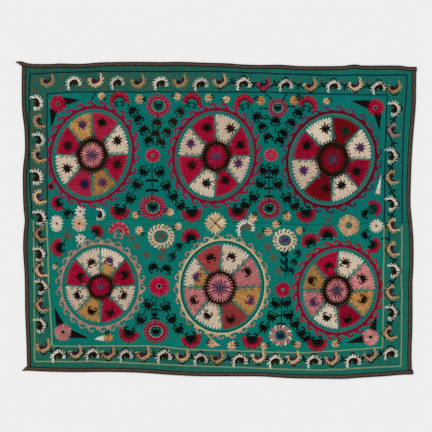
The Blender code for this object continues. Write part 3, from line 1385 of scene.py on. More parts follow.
@dataclass(frozen=True)
class LobedFlower(Motif):
    """A large pale flower of pointed lobes, split by four dark veins."""

    radius: float = 63.0
    thread: Thread = PARCHMENT
    heart: Thread = PEACH
    vein: Thread = LEAF_GREEN

    def stitch(self, work: Stitching) -> None:
        """Stitches the lobes, their side teeth and the veins.

        Args:
            work: the piece that it goes in.
        """
        size = self.radius
        for index in range(20):
            off = index % 5 - 2
            angle = 90 * (index // 5) + 17.5 * off
            root = self.centre + toward(angle) * size * 0.12
            work.claw(self.thread, root, angle, size * (0.86 - 0.05 * abs(off)), size * 0.26,
                      5 * off, shape=PETAL)
            if off % 2 == 0:
                work.claw(self.heart, root, angle, size * 0.6, size * 0.16, 0, 0.5)
        for angle in (45, 135, 225, 315):
            line = self.centre + toward(angle) * size * np.array([[0.05], [0.45], [0.84]])
            work.stroke(self.vein, line, 6.5, 0.8, tip=0.7)


@dataclass(frozen=True)
class Rosette(Motif):
    """A small round flower couched straight across, with a ragged rim and a ringed eye."""

    radius: float = 43.0
    thread: Thread = ROSE
    rim: Thread = PINK
    squash: float = 0.9
    eye_radius: float = 7.0

    def stitch(self, work: Stitching) -> None:
        """Stitches the disc, the rim and the eye.

        Args:
            work: the piece that it goes in.
        """
        size = self.radius
        radii = np.array((size, size * self.squash))
        work.fill(self.thread, oval(self.centre, radii * 0.92, 40), pitch=3.8)
        for index in range(24):
            step = toward(15.0 * index) * radii
            work.claw(self.rim if index % 2 else self.thread, self.centre + step * 0.78,
                      heading_of(step), size * work.draw.uniform(0.17, 0.23), size * 0.22)
        work.stroke(SAGE, oval(self.centre, (self.eye_radius,) * 2, 16), 3.2, 0.6,
                    closed=True)
        work.spokes(FADED, self.centre, 0.4, self.eye_radius * 0.7, 8, lift=0.6)


def faded_spots(spots: Iterable[Spot], radius: float = 15.0) -> list[Motif]:
    """Florets whose dye has faded almost to the colour of the ground."""
    return [Floret(across, down, 90 + 40 * math.sin(across), FADED, radius, 8, 320,
                   horned=False) for across, down in spots]


# Shapes of the border leaf about its own middle
LEAF_BAND = ((-27, -15), (-30, 1), (-19, 14), (-2, 20), (15, 18), (27, 7), (29, -9), (23, -22))
LEAF_HOOK = ((-26, -13), (-32, -18), (-39, -24), (-36, -31), (-28, -30))
LEAF_CORE = ((-19, -17), (-20, -5), (-12, 4), (-2, 6), (8, 3))
LEAF_SEED = ((11, -1),)
ARCH_HALVES = (4.0, 5.0, 5.5, 6.0, 5.5, 5.5, 4.0)
CUP_HALVES = (4.5, 6.0, 7.0, 7.0, 6.0, 5.0, 4.0)


@dataclass(frozen=True)
class Boteh(Motif):
    """A hooked border leaf with claws round its outside and a dark core."""

    thread: Thread = CREAM
    core: Thread = BROWN
    turn: float = 0.0
    scale: float = 1.0
    claws: int = 11
    cup: bool = False

    def stitch(self, work: Stitching) -> None:
        """Stitches the band, claws, hook and core.

        Args:
            work: the piece that it goes in.
        """
        band, hook, core, seed = (
            placed(shape, self.centre, self.turn, self.scale)
            for shape in (LEAF_BAND, LEAF_HOOK, LEAF_CORE, LEAF_SEED))
        path = flowing(band, spacing=3)
        halves = np.array(CUP_HALVES if self.cup else ARCH_HALVES) * self.scale
        work.satin(self.thread, band, halves, 3.2)
        outward = left_of(path)
        for share in np.linspace(0.03, 0.98, self.claws):
            place = round(share * (len(path) - 1))
            out = outward[place]
            work.claw(self.thread, path[place] + out * 3, heading_of(out) - 20,
                      17 * self.scale * work.draw.uniform(0.85, 1.1), 7.6 * self.scale, 95)
        work.stroke(self.thread, hook, 6.5 * self.scale, tip=0.8)
        work.stroke(self.core, core, (9.0 if self.cup else 12.5) * self.scale, 0.7)
        work.spokes(self.core, seed[0], 0.5, (15.0 if self.cup else 20.0) * self.scale, 8, 1.3,
                    0.4, 0.8, self.turn, 0.2)


@dataclass(frozen=True)
class Hub(Motif):
    """A medallion's middle: a rayed disc in a dark toothed ring, with a star and an eye."""

    disc_radii: tuple[float, float] = (62.0, 68.0)
    ring_radii: tuple[float, float] = (88.0, 99.0)
    disc: Thread = PINK
    star: Thread = PLUM
    star_radius: float = 40.0
    rays: int = 28
    teeth: int = 34
    lean: float = 3.5
    overlap: float = 1.05

    def stitch(self, work: Stitching) -> None:
        """Stitches the ring, which overlaps the sectors, the disc, the star and the eye.

        Args:
            work: the piece that it goes in.
        """
        disc, ring = np.array(self.disc_radii), np.array(self.ring_radii) * self.overlap
        middle = (disc * 0.6 + ring) / 2
        work.satin(BROWN, oval(self.centre, middle, 60, self.lean),
                   (ring - middle).mean(), 3.6, closed=True, lift=0.2)
        mean = ring.mean()
        for index in range(self.teeth):
            degrees = 360 * (index + 0.5) / self.teeth
            root = oval_spot(self.centre, ring * 0.95, degrees, self.lean)
            work.claw(BROWN, root, heading_of(root - self.centre), mean * 0.11,
                      mean * 5.4 / self.teeth, 0, 0.2)
        work.spokes(self.disc, self.centre, 6, disc + 2, self.rays, 1.35, 0.4, 0.9,
                    uneven=0.03)
        work.spokes(self.disc, self.centre, 6, disc * 0.82, self.rays, 1.35, 1.0, 0.8,
                    180 / self.rays)
        work.spokes(self.star, self.centre, 3, self.star_radius, 14, 1.2, 0.3, 1.6,
                    uneven=0.14)
        work.stroke(SAGE, oval(self.centre, (8, 8), 16), 2.6, 1.9, closed=True)
        work.spokes(NAVY, self.centre, 0.5, 6.5, 8, lift=2.0)


# Silks whose sectors have long teeth and curls all along their sides
PALE = (CREAM, OCHRE, PINK)
# Radius, spikes, fan, lift and horns of a medallion's florets, above and below the seam
UPPER_FLORET = (34.0, 9, 320, 0.75, False)
LOWER_FLORET = (31.0, 7, 215, 0.75, True)
# A green curl in the groove beside a sector, as steps out along it and across it
GROOVE_CURL = ((0, 0), (1, 9), (8, 15), (16, 12), (14, 5))


@dataclass(frozen=True)
class Sector:
    """One eighth of a medallion: its silk, its rows' turn, and an inner silk if it has two."""

    thread: Thread
    rows: float | None = None
    inner: Thread | None = None
    split: float = 0.45


@dataclass(frozen=True)
class Medallion(Motif):
    """A wheel of eight sectors round a hub, inside a ring of scrolls.

    The ring's radii run to its inner edge. Lean is how far it bulges at the upper right and the
    lower left.
    """

    name: str
    ring_radii: tuple[float, float]
    lean: float
    reach: float
    hub: Hub
    sectors: tuple[Sector, ...]
    ring: Thread
    wedge: Thread
    hook: Thread
    florets: tuple[tuple[float, float, Thread], ...]
    scrolls: int = 26
    ring_out: float = 9.5
    ring_width: float = 17.5
    inner_line: Thread = SLATE
    inner_width: float = 5.0
    ring_gap: float = 17.0
    groove: float = 3.6
    teeth: int = 9
    scroll_ends: Spot = FREE
    pale_tooth: float = 14.0
    dark_tooth: float = 8.0

    def spot(self, degrees: Array | float, share: Array | float) -> Array:
        """Places between the hub, at share 0, and the sectors' outer edge, at share 1.

        Args:
            degrees: directions from the middle.
            share: how far out each place is.

        Returns:
            The places.
        """
        degrees, share = np.broadcast_arrays(np.asarray(degrees, float), share)
        inside = self.hub.centre + toward(degrees) * np.array(self.hub.ring_radii)
        outside = oval_spot(self.centre, np.array(self.ring_radii) - self.ring_gap, degrees,
                            self.lean)
        return inside + (outside - inside) * share[..., None]

    def sector(self, work: Stitching, index: int, look: Sector) -> None:
        """Fills one sector, its comb of teeth and the green curls along its sides.

        Args:
            work: the piece that it goes in.
            index: its number, clockwise from the top.
            look: its silks.
        """
        high, low = 90 - 45 * index, 45 - 45 * index
        pale = look.thread in PALE
        pitch = float(np.linalg.norm(self.spot(high, 1.0) - self.spot(low, 1.0))) / self.teeth
        long = float(np.linalg.norm(self.spot(high, 1.0) - self.spot(high, 0.0)))
        depth = (self.pale_tooth if pale else self.dark_tooth) / long
        shares = np.linspace(0, 1 - depth, 12)
        start = self.spot(low, shares) + toward(low + 90) * self.groove
        end = self.spot(high, shares) - toward(high + 90) * self.groove
        comb = self.spot(np.linspace(low + 1, high - 1, 12)[1:-1], 1 - depth)
        for place in (np.arange(self.teeth) + 0.5) / self.teeth:
            root, tip = self.spot(low + 1.2 + (high - low - 2.4) * place,
                                  np.array((1 - depth * 1.3, 1.0)))
            way = (tip - root) * work.draw.uniform(0.9, 1.06)
            work.claw(look.thread, root, heading_of(way), float(np.linalg.norm(way)),
                      pitch * 0.92, shape=TOOTH)
        degrees = look.rows if look.rows is not None else (high + low) / 2 if pale else 0.0
        outline = [start, comb, end[::-1]]
        if look.inner:
            cut = self.spot(np.linspace(low, high, 9), look.split)
            inside = shares < look.split
            work.fill(look.inner, np.concatenate((start[inside], cut, end[inside][::-1])),
                      degrees)
            outline = [cut[:1], start[~inside], comb, end[~inside][::-1], cut[::-1]]
        work.fill(look.thread, np.concatenate(outline), degrees)
        for edge, side in ((low, 1), (high, -1)):
            for place in (0.1, 0.34, 0.6)[:3 if pale else 1]:
                shape = np.array(GROOVE_CURL) * (1, side)
                work.stroke(TEAL, placed(shape, self.spot(edge, place + 0.03 * side), edge),
                            7.2, 0.5, tip=0.7)

    def build(self) -> list[Piece]:
        """Stitches the wheel and its rings, then its florets and hub as a piece on top.

        Returns:
            Both pieces.
        """
        seed = round(self.across)
        wheel = Stitching(self.name, seed)
        for index, look in enumerate(self.sectors):
            wheel.tone = wheel.draw.uniform(-0.4, 0.4)
            self.sector(wheel, index, look)
        wheel.tone = 0.0
        radii = np.array(self.ring_radii)
        wheel.stroke(self.inner_line, oval(self.centre, radii - 4, 96, self.lean),
                     self.inner_width, closed=True)
        ScrollRing(self.centre, radii + self.ring_out, self.lean, self.reach, self.scrolls,
                   self.ring, self.wedge, self.hook, self.ring_width,
                   self.scroll_ends).stitch(wheel)
        crown = Stitching(self.name + "_florets", seed + 1)
        self.hub.stitch(crown)
        for across, down, thread in self.florets:
            facing = heading_of(photo_spot(across, down) - self.centre)
            look = UPPER_FLORET if self.down < MIDDLE_DOWN else LOWER_FLORET
            Floret(across, down, facing, thread, *look).stitch(crown)
        return [wheel.build(), crown.build()]


@dataclass(frozen=True)
class GuardLines:
    """The two thin lines on each side of the border: navy on the upper width, olive below.

    A line's name says its side, whether it is the inner or the outer one, and its width of cloth.
    """

    spots: dict[str, Rows]
    width: float = 6.6
    step: float = 55.0
    wander: float = 0.9

    def rows(self, side: str) -> Array:
        """A side's inner line as rising rows for through(), with y first on left and right.

        Args:
            side: top, bottom, left or right.

        Returns:
            The rows.
        """
        spots = [photo_spot(*spot) for name, line in self.spots.items()
                 if name.startswith(side + " inner") for spot in line]
        rows = np.array([(y, x) if side in ("left", "right") else (x, y) for x, y in spots])
        return rows[np.argsort(rows[:, 0])]

    def inward(self, x: Array, y: Array) -> Array:
        """How far in from the nearest inner line a place is.

        Args:
            x: places across the cloth.
            y: places up the cloth.

        Returns:
            The distance in mm at each place.
        """
        return np.minimum.reduce((
            x - through(self.rows("left"), y), through(self.rows("right"), y) - x,
            through(self.rows("top"), x) - y, y - through(self.rows("bottom"), x)))

    def build(self, name: str, thread: Thread, width: str) -> Piece:
        """Stitches the lines of one width of cloth.

        Args:
            name: the piece's name.
            thread: its silk.
            width: "upper" or "lower".

        Returns:
            The lines' piece.
        """
        work = Stitching(name, 7)
        for title, spots in self.spots.items():
            if title.endswith(width):
                points = flowing(np.array([photo_spot(*spot) for spot in spots]),
                                 spacing=self.step)
                wander = work.draw.normal(0, self.wander, points.shape)
                wander[[0, -1]] = 0
                work.stroke(thread, points + wander, self.width)
        return work.build()


GUARDS = GuardLines({
    "top outer upper": (
        (29.5, 73.5), (40, 73), (60, 72), (100, 71), (160, 71), (215, 71), (270, 73),
        (320, 74.5), (370, 74.5), (406.5, 74.5)),
    "top inner upper": (
        (46.5, 93.5), (58, 92.5), (80, 91.5), (160, 91.5), (250, 91.5), (310, 93),
        (370, 94.2), (387, 94.2)),
    "left outer upper": (
        (29.5, 73.5), (28.8, 100), (28.8, 140), (29.5, 180), (31.5, 218)),
    "left inner upper": (
        (46.5, 93.5), (46.5, 130), (46.6, 170), (46.5, 218)),
    "right inner upper": (
        (387, 94.2), (386, 110), (385, 150), (384, 190), (383.5, 222)),
    "right outer upper": (
        (406.5, 74.5), (406, 90), (404, 118), (403, 130), (402, 170), (401.5, 222)),
    "left outer lower": (
        (33, 220), (33.5, 260), (34, 300), (34.3, 340), (34.5, 361)),
    "left inner lower": (
        (46.5, 219.5), (47.5, 255), (48.5, 290), (50.5, 320), (51.5, 345.5)),
    "right inner lower": (
        (383.6, 224.5), (383.3, 260), (382.8, 300), (382, 347)),
    "right outer lower": (
        (401.3, 224.5), (401, 260), (401, 310), (400.5, 365.5)),
    "bottom inner lower": (
        (51.5, 345.5), (90, 345.5), (140, 345.5), (160, 346), (180, 348.5), (207, 349.5),
        (240, 350.5), (300, 352), (340, 350), (382, 347)),
    "bottom outer lower": (
        (34.5, 361), (90, 361), (135, 362.5), (175, 364.5), (214, 366), (250, 367.5),
        (320, 369.3), (370, 367), (400.5, 365.5)),
})


@dataclass(frozen=True)
class BorderSide:
    """One side of the border: pale arches and gold cups in turn, with a vine that waves past."""

    name: str
    leaves: tuple[tuple[float, float, Thread], ...]
    turn: float = 0.0
    vine_from: int = 0
    spots: Rows = ()
    vine_reach: float = 43.0
    vine_half: float = 26.0
    vine_shoulder: float = 22.0

    def vine(self, work: Stitching) -> None:
        """Stitches the vine over each arch and under each cup, with leaves at each crossing.

        Args:
            work: the piece that it goes in.
        """
        out, along = toward(90 + self.turn), toward(self.turn)
        line, crests = [], []
        for across, down, thread in self.leaves[self.vine_from:]:
            side = 1 if thread is C else -1
            spot = photo_spot(across, down)
            crests.append(spot + out * self.vine_reach * side)
            shoulder = out * side * self.vine_shoulder
            line += [spot - along * self.vine_half + shoulder, crests[-1],
                     spot + along * self.vine_half + shoulder]
        work.stroke(VINE, np.array(line), 9.0)
        for before, after in zip(crests, crests[1:], strict=False):
            for side in (1, -1):
                work.claw(VINE, (before + after) / 2,
                          heading_of(after - before) + side * 68, 28, 14, -side * 20,
                          shape=LEAF)

    def build(self) -> Piece:
        """Stitches the side.

        Returns:
            The side's piece.
        """
        work = Stitching(self.name, len(self.leaves))
        self.vine(work)
        for across, down, thread in self.leaves:
            work.tone = work.draw.uniform(-0.5, 0.5)
            arch = thread is C
            turn = self.turn + (12 if arch else 200) + work.draw.uniform(-6, 6)
            Boteh(across, down, W if arch else thread, BROWN if arch else GRAPE, turn,
                  float(work.draw.uniform(0.93, 1.04)), cup=not arch).stitch(work)
        work.tone = 0.0
        for spot in faded_spots(self.spots):
            spot.stitch(work)
        return work.build()


BORDERS = (
    BorderSide("border_top", (
        (47, 80.5, T), (73, 82, C), (95.5, 80.5, P), (116.5, 82, C), (138, 81.5, T),
        (160, 82.5, C), (180, 81, T), (200, 83.5, C), (220, 81, P), (243, 83, C),
        (263, 83.5, ROSE), (285, 84.5, C), (310, 84.5, T), (333, 85.5, C),
        (355, 84.5, P), (378, 87, C), (394, 87, T),
    ), 0.0, 8, (
        (37, 78), (36, 90), (61, 86), (62, 76), (84, 79), (85, 86), (107, 77), (104, 87),
        (127, 77), (149, 86), (150, 78), (170, 77), (190, 78), (211, 78), (298, 80),
        (321, 80), (344, 80), (367, 81),
    )),
    BorderSide("border_right", (
        (394, 108, C), (393, 130, D), (391, 155, C), (391, 177, T), (391, 203, C),
        (392.5, 225, P), (392, 249, T), (393.5, 270, C), (391, 292, T), (391, 312, C),
        (389, 333, T),
    ), -90.0),
    BorderSide("border_bottom", (
        (43, 346, T), (57.5, 355, C), (75.5, 352, P), (92, 354, C), (108, 352.5, T),
        (125, 355, C), (143, 353.5, T), (163.5, 355.5, C), (182, 355.5, P), (200, 358.5, C),
        (217, 357, T), (239, 359.5, C), (258, 356.5, P), (274.5, 360.5, C), (293, 357.5, P),
        (313, 360.5, C), (331.5, 358.5, T), (352.5, 360, C), (370, 354.5, T),
        (390, 353, C),
    )),
    BorderSide("border_left", (
        (36.5, 102, C), (38.3, 121, T), (38.5, 139, C), (38, 155.5, T), (36.2, 176.3, C),
        (38.5, 197, P), (39.5, 217, C), (40, 234, T), (39, 253.5, C), (40.5, 270, P),
        (41, 286, C), (41, 305, T), (39.5, 324.5, C),
    ), -90.0, 6, (
        (33, 90), (32, 112), (41, 112), (32, 130), (43, 130), (33, 147), (43, 148),
        (33, 167), (43, 167), (33, 188), (43, 188),
    )),
)


def sectors(*threads: Thread) -> tuple[Sector, ...]:
    """Plain sectors, clockwise from the top."""
    return tuple(Sector(thread) for thread in threads)


RED_ACROSS = Sector(CRIMSON, 0.0)
MEDALLIONS = (
    Medallion(
        91.45, 153.95, "medallion_1", (218, 250), 9.0, 28.0,
        Hub(91.7, 154.5, (62, 68), (88, 99)),
        sectors(ROSE, C, CRIMSON, O, ROSE, C, CRIMSON, O), RING, CRIMSON, MAGENTA,
        ((101.5, 122, BLACK), (82, 124, PLUM), (67, 145, BROWN), (66.5, 168, BLACK),
         (84, 184, NAVY), (102, 182, PLUM), (117, 164, BROWN), (117, 140, BLACK)),
        scroll_ends=(-922.0, FREE[1]),
    ),
    Medallion(
        214.0, 155.2, "medallion_2", (216, 246), 6.0, 28.0,
        Hub(215.8, 156.0, (56, 65), (82, 89), CRIMSON, PLUM, 33.0, 26),
        sectors(C, CRIMSON, C, CRIMSON, C, CRIMSON, C, CRIMSON), RING, CRIMSON, MAGENTA,
        ((206.5, 127, BLACK), (190, 143, PLUM), (206, 183, BLACK), (238, 163, PLUM),
         (225, 180, BLACK), (230, 128, BROWN), (191, 165, BROWN), (240, 144, BLACK)),
    ),
    Medallion(
        331.1, 158.9, "medallion_3", (235, 251), 9.5, 28.0,
        Hub(332.3, 158.9, (65, 71), (92, 103), DEEP, PLUM, 39.0),
        sectors(DEEP, C, CRIMSON, C, DEEP, C, CRIMSON, C), WINE, DEEP, PLUM,
        ((325, 128, BLACK), (345, 131, LEAF_GREEN), (360, 147, PLUM), (356, 171, BLACK),
         (341, 185, BLACK), (325, 188, BROWN), (303, 170, PLUM), (306, 145, BLACK)), 25,
    ),
    Medallion(
        99.9, 284.7, "medallion_4", (209, 223), 0.0, 28.0,
        Hub(99.95, 286.2, (52, 51), (73, 72), CRIMSON, PLUM, 24.0, 22, 30),
        (Sector(C, None, O), RED_ACROSS, Sector(C), RED_ACROSS, Sector(O), Sector(C),
         RED_ACROSS, Sector(C)), D, D, D,
        ((91, 262, BROWN), (109, 260, PLUM), (80, 276, BROWN), (77, 295, BLACK),
         (91, 311, BLACK), (110, 312, BROWN), (124, 274, BLACK), (123, 295, BROWN)),
        26, 7.0, 9.5, inner_width=3.2,
    ),
    Medallion(
        221.8, 286.2, "medallion_5", (231, 253), 3.0, 27.0,
        Hub(219.5, 287.2, (70, 77), (88, 97), PINK, PLUM, 49.0),
        (Sector(C), Sector(PINK), Sector(O), Sector(BRICK), Sector(C), Sector(PINK),
         Sector(C, None, O, 0.5), Sector(BRICK)), PARCHMENT, P, D,
        ((210, 257, BLACK), (196, 276, PLUM), (193, 300, BROWN), (207, 315, BLACK),
         (230, 319, BLACK), (231, 256, BROWN), (247, 271, BLACK), (250, 300, PLUM)),
        25, 5.5, 11.0, LEAF_GREEN, 4.5,
    ),
    Medallion(
        338.2, 289.35, "medallion_6", (215, 232), 5.0, 25.0,
        Hub(336.3, 290.2, (59, 64), (84, 90), PINK, NAVY, 40.0, 26),
        sectors(C, PINK, O, CRIMSON, C, PINK, O, CRIMSON), RING, CRIMSON, CRIMSON,
        ((345, 262, BROWN), (362, 278, BLACK), (328, 265, BROWN), (311, 280, BLACK),
         (313, 302, PLUM), (326, 317, BLACK), (347, 319, BLACK), (363, 299, BROWN)),
        scroll_ends=(FREE[0], 909.0),
    ),
)


def florets(rows: Iterable[Spot], heart: Spot, thread: Thread = BLACK,
            radius: float = 35.0) -> list[Motif]:
    """Loose florets that all face away from one spot, the heart."""
    return [Floret(*spot, heading_of(photo_spot(*spot) - photo_spot(*heart)), thread, radius)
            for spot in rows]


def leaf_pairs(rows: Iterable[Spot], facing: float = 90.0, length: float = 37.0,
               thread: Thread = BLACK, bend: float = 75.0) -> list[Motif]:
    """Leaf pairs along a stem."""
    return [LeafPair(across, down, facing, thread, length, bend) for across, down in rows]


def flowers(rows: Iterable[tuple[float, ...]], thread: Thread = P) -> list[Motif]:
    """Small flowers, from rows of photo spot, radius and direction of the leaves."""
    return [SmallFlower(a, d, radius, thread, facing) for a, d, radius, facing in rows]


def carnations(rows: Iterable[tuple[float, ...]], core: float = 0.62) -> list[Motif]:
    """Crimson carnations, from rows of photo spot, facing and radius."""
    return [Carnation(*row[:3], CRIMSON, BLACK, row[3], core) for row in rows]


SPRAYS: dict[str, list[Motif]] = {
    "corner_daisies": [
        LeafSpike(62, 101, (79.5, 99.6), 27), LeafSpike(53.5, 108, (50.7, 127), 24),
        Daisy(57.5, 103.5, 48), LeafSpike(370, 104.5, (350.5, 100), 27),
        LeafSpike(377, 112, (379, 130), 24), Daisy(375, 107, 48),
        LeafSpike(60, 325, (54, 307), 24), LeafSpike(69, 333, (88.5, 337.5), 25),
        Daisy(62.5, 331.5, 48, PINK), LeafSpike(372, 330, (376, 315.5), 23),
        LeafSpike(364, 338, (345.5, 342.5), 24), Daisy(370, 336.5, 46, PINK),
    ],
    "spray_upper_left": [
        Stem(157.5, 105, ((157.4, 122), (157, 141)), BLACK, 5.4),
        Stem(127, 103, ((132, 110), (137.5, 118), (143.2, 129), (148, 140)), BLACK, 5, 34),
        Stem(186, 104, ((180, 111), (173, 121), (167, 131), (161, 142)), BROWN, 5, 32),
        *florets(((156.5, 122), (155, 133)), (152.4, 155), BROWN),
        RingFlower(158, 105.2, 66, 38, CRIMSON, 20, LEAF_GREEN, band=15, squash=0.92),
        *carnations(((118.5, 98, 95, 56), (192, 99.5, 80, 56)), 0.0),
        Rosette(152.4, 155), Stem(151.5, 163, ((151.7, 185), (151.5, 205)), BLACK, 6.0),
        *leaf_pairs(((151.6, 180), (151.7, 190))),
        *florets(((143, 171.5), (159.5, 172), (136.5, 184.5), (166, 186), (129.5, 198.5),
                  (173, 196), (180.5, 205.5)), (152.4, 155)),
        Stem(146, 164, ((143, 171.5), (136.5, 184.5), (129.5, 198.5), (122, 206))),
        Stem(157, 164, ((159.5, 172), (166, 186), (173, 196), (180.5, 205.5))),
        RingFlower(152.2, 206.6, 72, 39),
        *carnations(((119, 212, -100, 58), (191.5, 214, -85, 58))),
        *flowers(((101, 95.5, 20, -40), (139, 98.5, 25, 0), (176.8, 96, 20, 160),
                  (208, 97.3, 22, 20), (226, 99, 20, 200), (135, 214.5, 19, 30),
                  (169.5, 211.5, 22, 160))),
        LeafPair(93, 95.5, 150, LEAF_GREEN, 24),
    ],
    "spray_upper_right": [
        Stem(250.4, 109, ((256, 116), (261.5, 126), (267, 136.5)), BLACK, 5, 34),
        Stem(301, 106, ((298, 112), (291, 122), (283, 132.5), (279.5, 140)), BLACK, 5, 34),
        Stem(275, 112, ((275, 122), (275, 133)), BLACK, 5.4), Floret(275, 120, 90, BLACK, 34),
        *carnations(((242.9, 101, 110, 56), (308, 103, 70, 56)), 0.0),
        RingFlower(277.2, 107.5, 54, 30, MAGENTA, 18, band=11.0, squash=0.96),
        *flowers(((260.5, 100, 25, 150), (293.5, 100, 25, 30)), O),
        *leaf_pairs(((263, 108), (262, 118), (290, 106)), 90, 27, LEAF_GREEN),
        *leaf_pairs(((268, 96), (268, 117), (300, 96)), 50, 25, LEAF_GREEN),
        *leaf_pairs(((252.5, 100), (284, 97)), 150, 25, LEAF_GREEN),
        SmallFlower(326, 100.5, 20, P, 20), Rosette(270.5, 154.5, 40),
        Stem(268.5, 162, ((268.5, 185), (268.5, 206)), BLACK, 6.0),
        *leaf_pairs(((268.5, 177), (268.5, 188), (268.5, 196)), 90, 28),
        *florets(((263, 170), (274, 171), (259.5, 184), (277.5, 184), (253, 197),
                  (286.5, 198), (245, 204.5), (294.5, 205.5)), (270, 156)),
        Stem(267, 163, ((263, 170), (259.5, 184), (253, 197), (245, 204.5))),
        Stem(273, 163, ((274, 171), (277.5, 184), (286.5, 198), (294.5, 205.5))),
        RingFlower(268.7, 208, 64, 35),
        *carnations(((236.9, 212.4, -100, 58), (306, 214.5, -80, 58))),
        *flowers(((252.1, 217.5, 23, 60), (286.6, 216, 23, 120))),
    ],
    "spray_middle_left": [
        Carnation(50, 186, 180, CRIMSON, BLACK, 22, 0.6),
        Carnation(56, 203, 205, CRIMSON, BLACK, 44), Stem(59, 203, ((67, 212),), BLACK, 5),
        Floret(67.2, 212.6, 130, BLACK, 32), SmallFlower(79.8, 211, 30, W),
        SmallFlower(80.3, 238.2, 27, W),
        Daisy(56.4, 223, 37, C, 14, DEEP, DEEP, 5, W, 0.6, 1.26),
        Daisy(78.9, 223, 43, P, 14, DEEP, DEEP, 5, C, 0.7, 1.1),
        Boteh(100, 213.9, W, BROWN, -95, 0.78, 9), Carnation(97, 230, 45, CRIMSON, BROWN, 42),
        Carnation(118.7, 229.5, 82, ROSE, PINK, 60, 0.0, 185, PINK),
        SmallFlower(120.5, 230, 13, CRIMSON),
        Floret(67.2, 235.3, 220, FADED, 30),
        Carnation(57, 247, 180, CRIMSON, BLACK, 52), Stem(62, 244, ((67, 235),), BLACK, 5),
        SmallFlower(54.5, 266, 14, P, 60),
    ],
    "spray_middle": [
        *flowers(((138.9, 230, 23, -45), (177.8, 226, 20, 200))),
        RingFlower(160.6, 236, 70, 41, C, 18, FADED, 90.0, P, 11.0),
        Carnation(190, 235, 100, CRIMSON, BLACK, 54), LobedFlower(215, 222.6),
        *florets(((178.5, 245.5), (172, 255.5)), (160, 265), VINE, 27),
        Stem(190, 240, ((178.5, 245.5), (172, 255.5), (168, 262))),
        *faded_spots(((136.4, 245.4), (145.6, 253.8), (160.8, 257.2), (163, 249.6),
                      (131.3, 237.8)), 26),
        Boteh(244.9, 226.5, W, FADED, 12, 1.2, 12),
        *flowers(((275.4, 224, 22, 30), (267.7, 231.1, 23, 160), (298.8, 230, 21, 10))),
        RingFlower(284.3, 239.8, 64, 36, C, 16, PLUM, 90.0, P, 11.0),
        Stem(284.6, 246, ((284.8, 262), (284.8, 277)), VINE, 5.0),
        *leaf_pairs(((284.8, 256), (284.8, 264), (284.8, 271)), 105, 40, VINE, -55),
        Stem(301, 249, ((297.7, 252.5), (293.8, 261), (290.5, 270)), VINE, 4.0, 25),
        Carnation(309, 239.5, 110, CRIMSON, BLACK, 52),
        *faded_spots(((258.8, 235), (267.2, 246.5), (273, 256.6), (278.8, 270.5)), 28),
    ],
    "spray_middle_right": [
        LeafSpike(377, 193.5, (380.5, 174.5), 13, W), LeafSpike(377, 193.5, (378, 185), 9, D),
        Carnation(374.8, 207, 30, MAGENTA, LEAF_GREEN, 48),
        Floret(364.5, 213, 150, BLACK, 31), Floret(364.5, 234.5, 200, BLACK, 31),
        Stem(371, 209, ((364.5, 213),), BLACK, 5), Stem(371, 242, ((364.5, 234.5),), BLACK, 5),
        Daisy(348.3, 224.8, 58, P, 18, SAGE, FADED, 17),
        Daisy(375.8, 225.5, 38, C, 14, DEEP, DEEP, 5, W, 0.6),
        Floret(327.5, 219, -90, FADED, 20, 5, 160), Carnation(327, 232, 90, CRIMSON, BLACK, 54),
        Carnation(374, 245.5, -25, CRIMSON, BLACK, 46),
    ],
    "spray_lower_left": [
        Daisy(158.7, 285.6, 58, CRIMSON, 18, BLACK, SAGE, 12),
        *florets(((152.5, 266.5), (166, 268), (147.5, 304.5), (140, 319.5), (165.5, 307),
                  (171.5, 319), (178.5, 329)), (158.7, 285.6)),
        Floret(154, 314, -90, BLACK, 22),
        Stem(156, 296, ((154.5, 312), (155, 331)), BLACK, 5.4),
        Stem(153, 295, ((147.5, 304.5), (140, 319.5), (131, 329))),
        Stem(163, 296, ((165.5, 307), (171.5, 319), (178.5, 329), (186, 335))),
        *leaf_pairs(((154.6, 318), (154.8, 309)), 90, 26), RingFlower(155.5, 331, 68, 37),
        *carnations(((127.8, 334.7, -105, 58), (191, 340, -80, 58))),
        SmallFlower(108, 337, 25, O, 100), LeafSpike(103.5, 337.5, (93.5, 338.5), 17, W),
        SmallFlower(211.5, 343, 23, P, 150), LeafSpike(213.5, 343.5, (220, 345), 12, C),
    ],
    "spray_lower_right": [
        Daisy(282.3, 289, 43, CRIMSON, 16, SAGE, SAGE, 8),
        *florets(((275, 303.5), (286, 302.5), (271, 316.5), (288.5, 315), (263, 327),
                  (294.5, 323.5), (301, 332.5), (306.5, 338)), (282.3, 289)),
        Stem(279, 297, ((275, 303.5), (271, 316.5), (263, 327), (256, 335))),
        Stem(284.5, 297, ((286, 302.5), (288.5, 315), (294.5, 323.5), (301, 332.5))),
        Stem(281.5, 297, ((281, 315), (280.5, 334)), BLACK, 5.4),
        *leaf_pairs(((281.3, 315), (281, 323)), 90, 26),
        RingFlower(280, 335, 60, 34, PINK, 16, NAVY, rim=C, band=11.0),
        SmallFlower(231.3, 344.9, 25, P, 10),
        *carnations(((251.5, 341, -90, 58), (317, 344, -85, 58))),
        *flowers(((263.5, 345.7, 20, 20), (296.8, 344, 20, 160), (334.7, 343.4, 21, 30))),
    ],
}


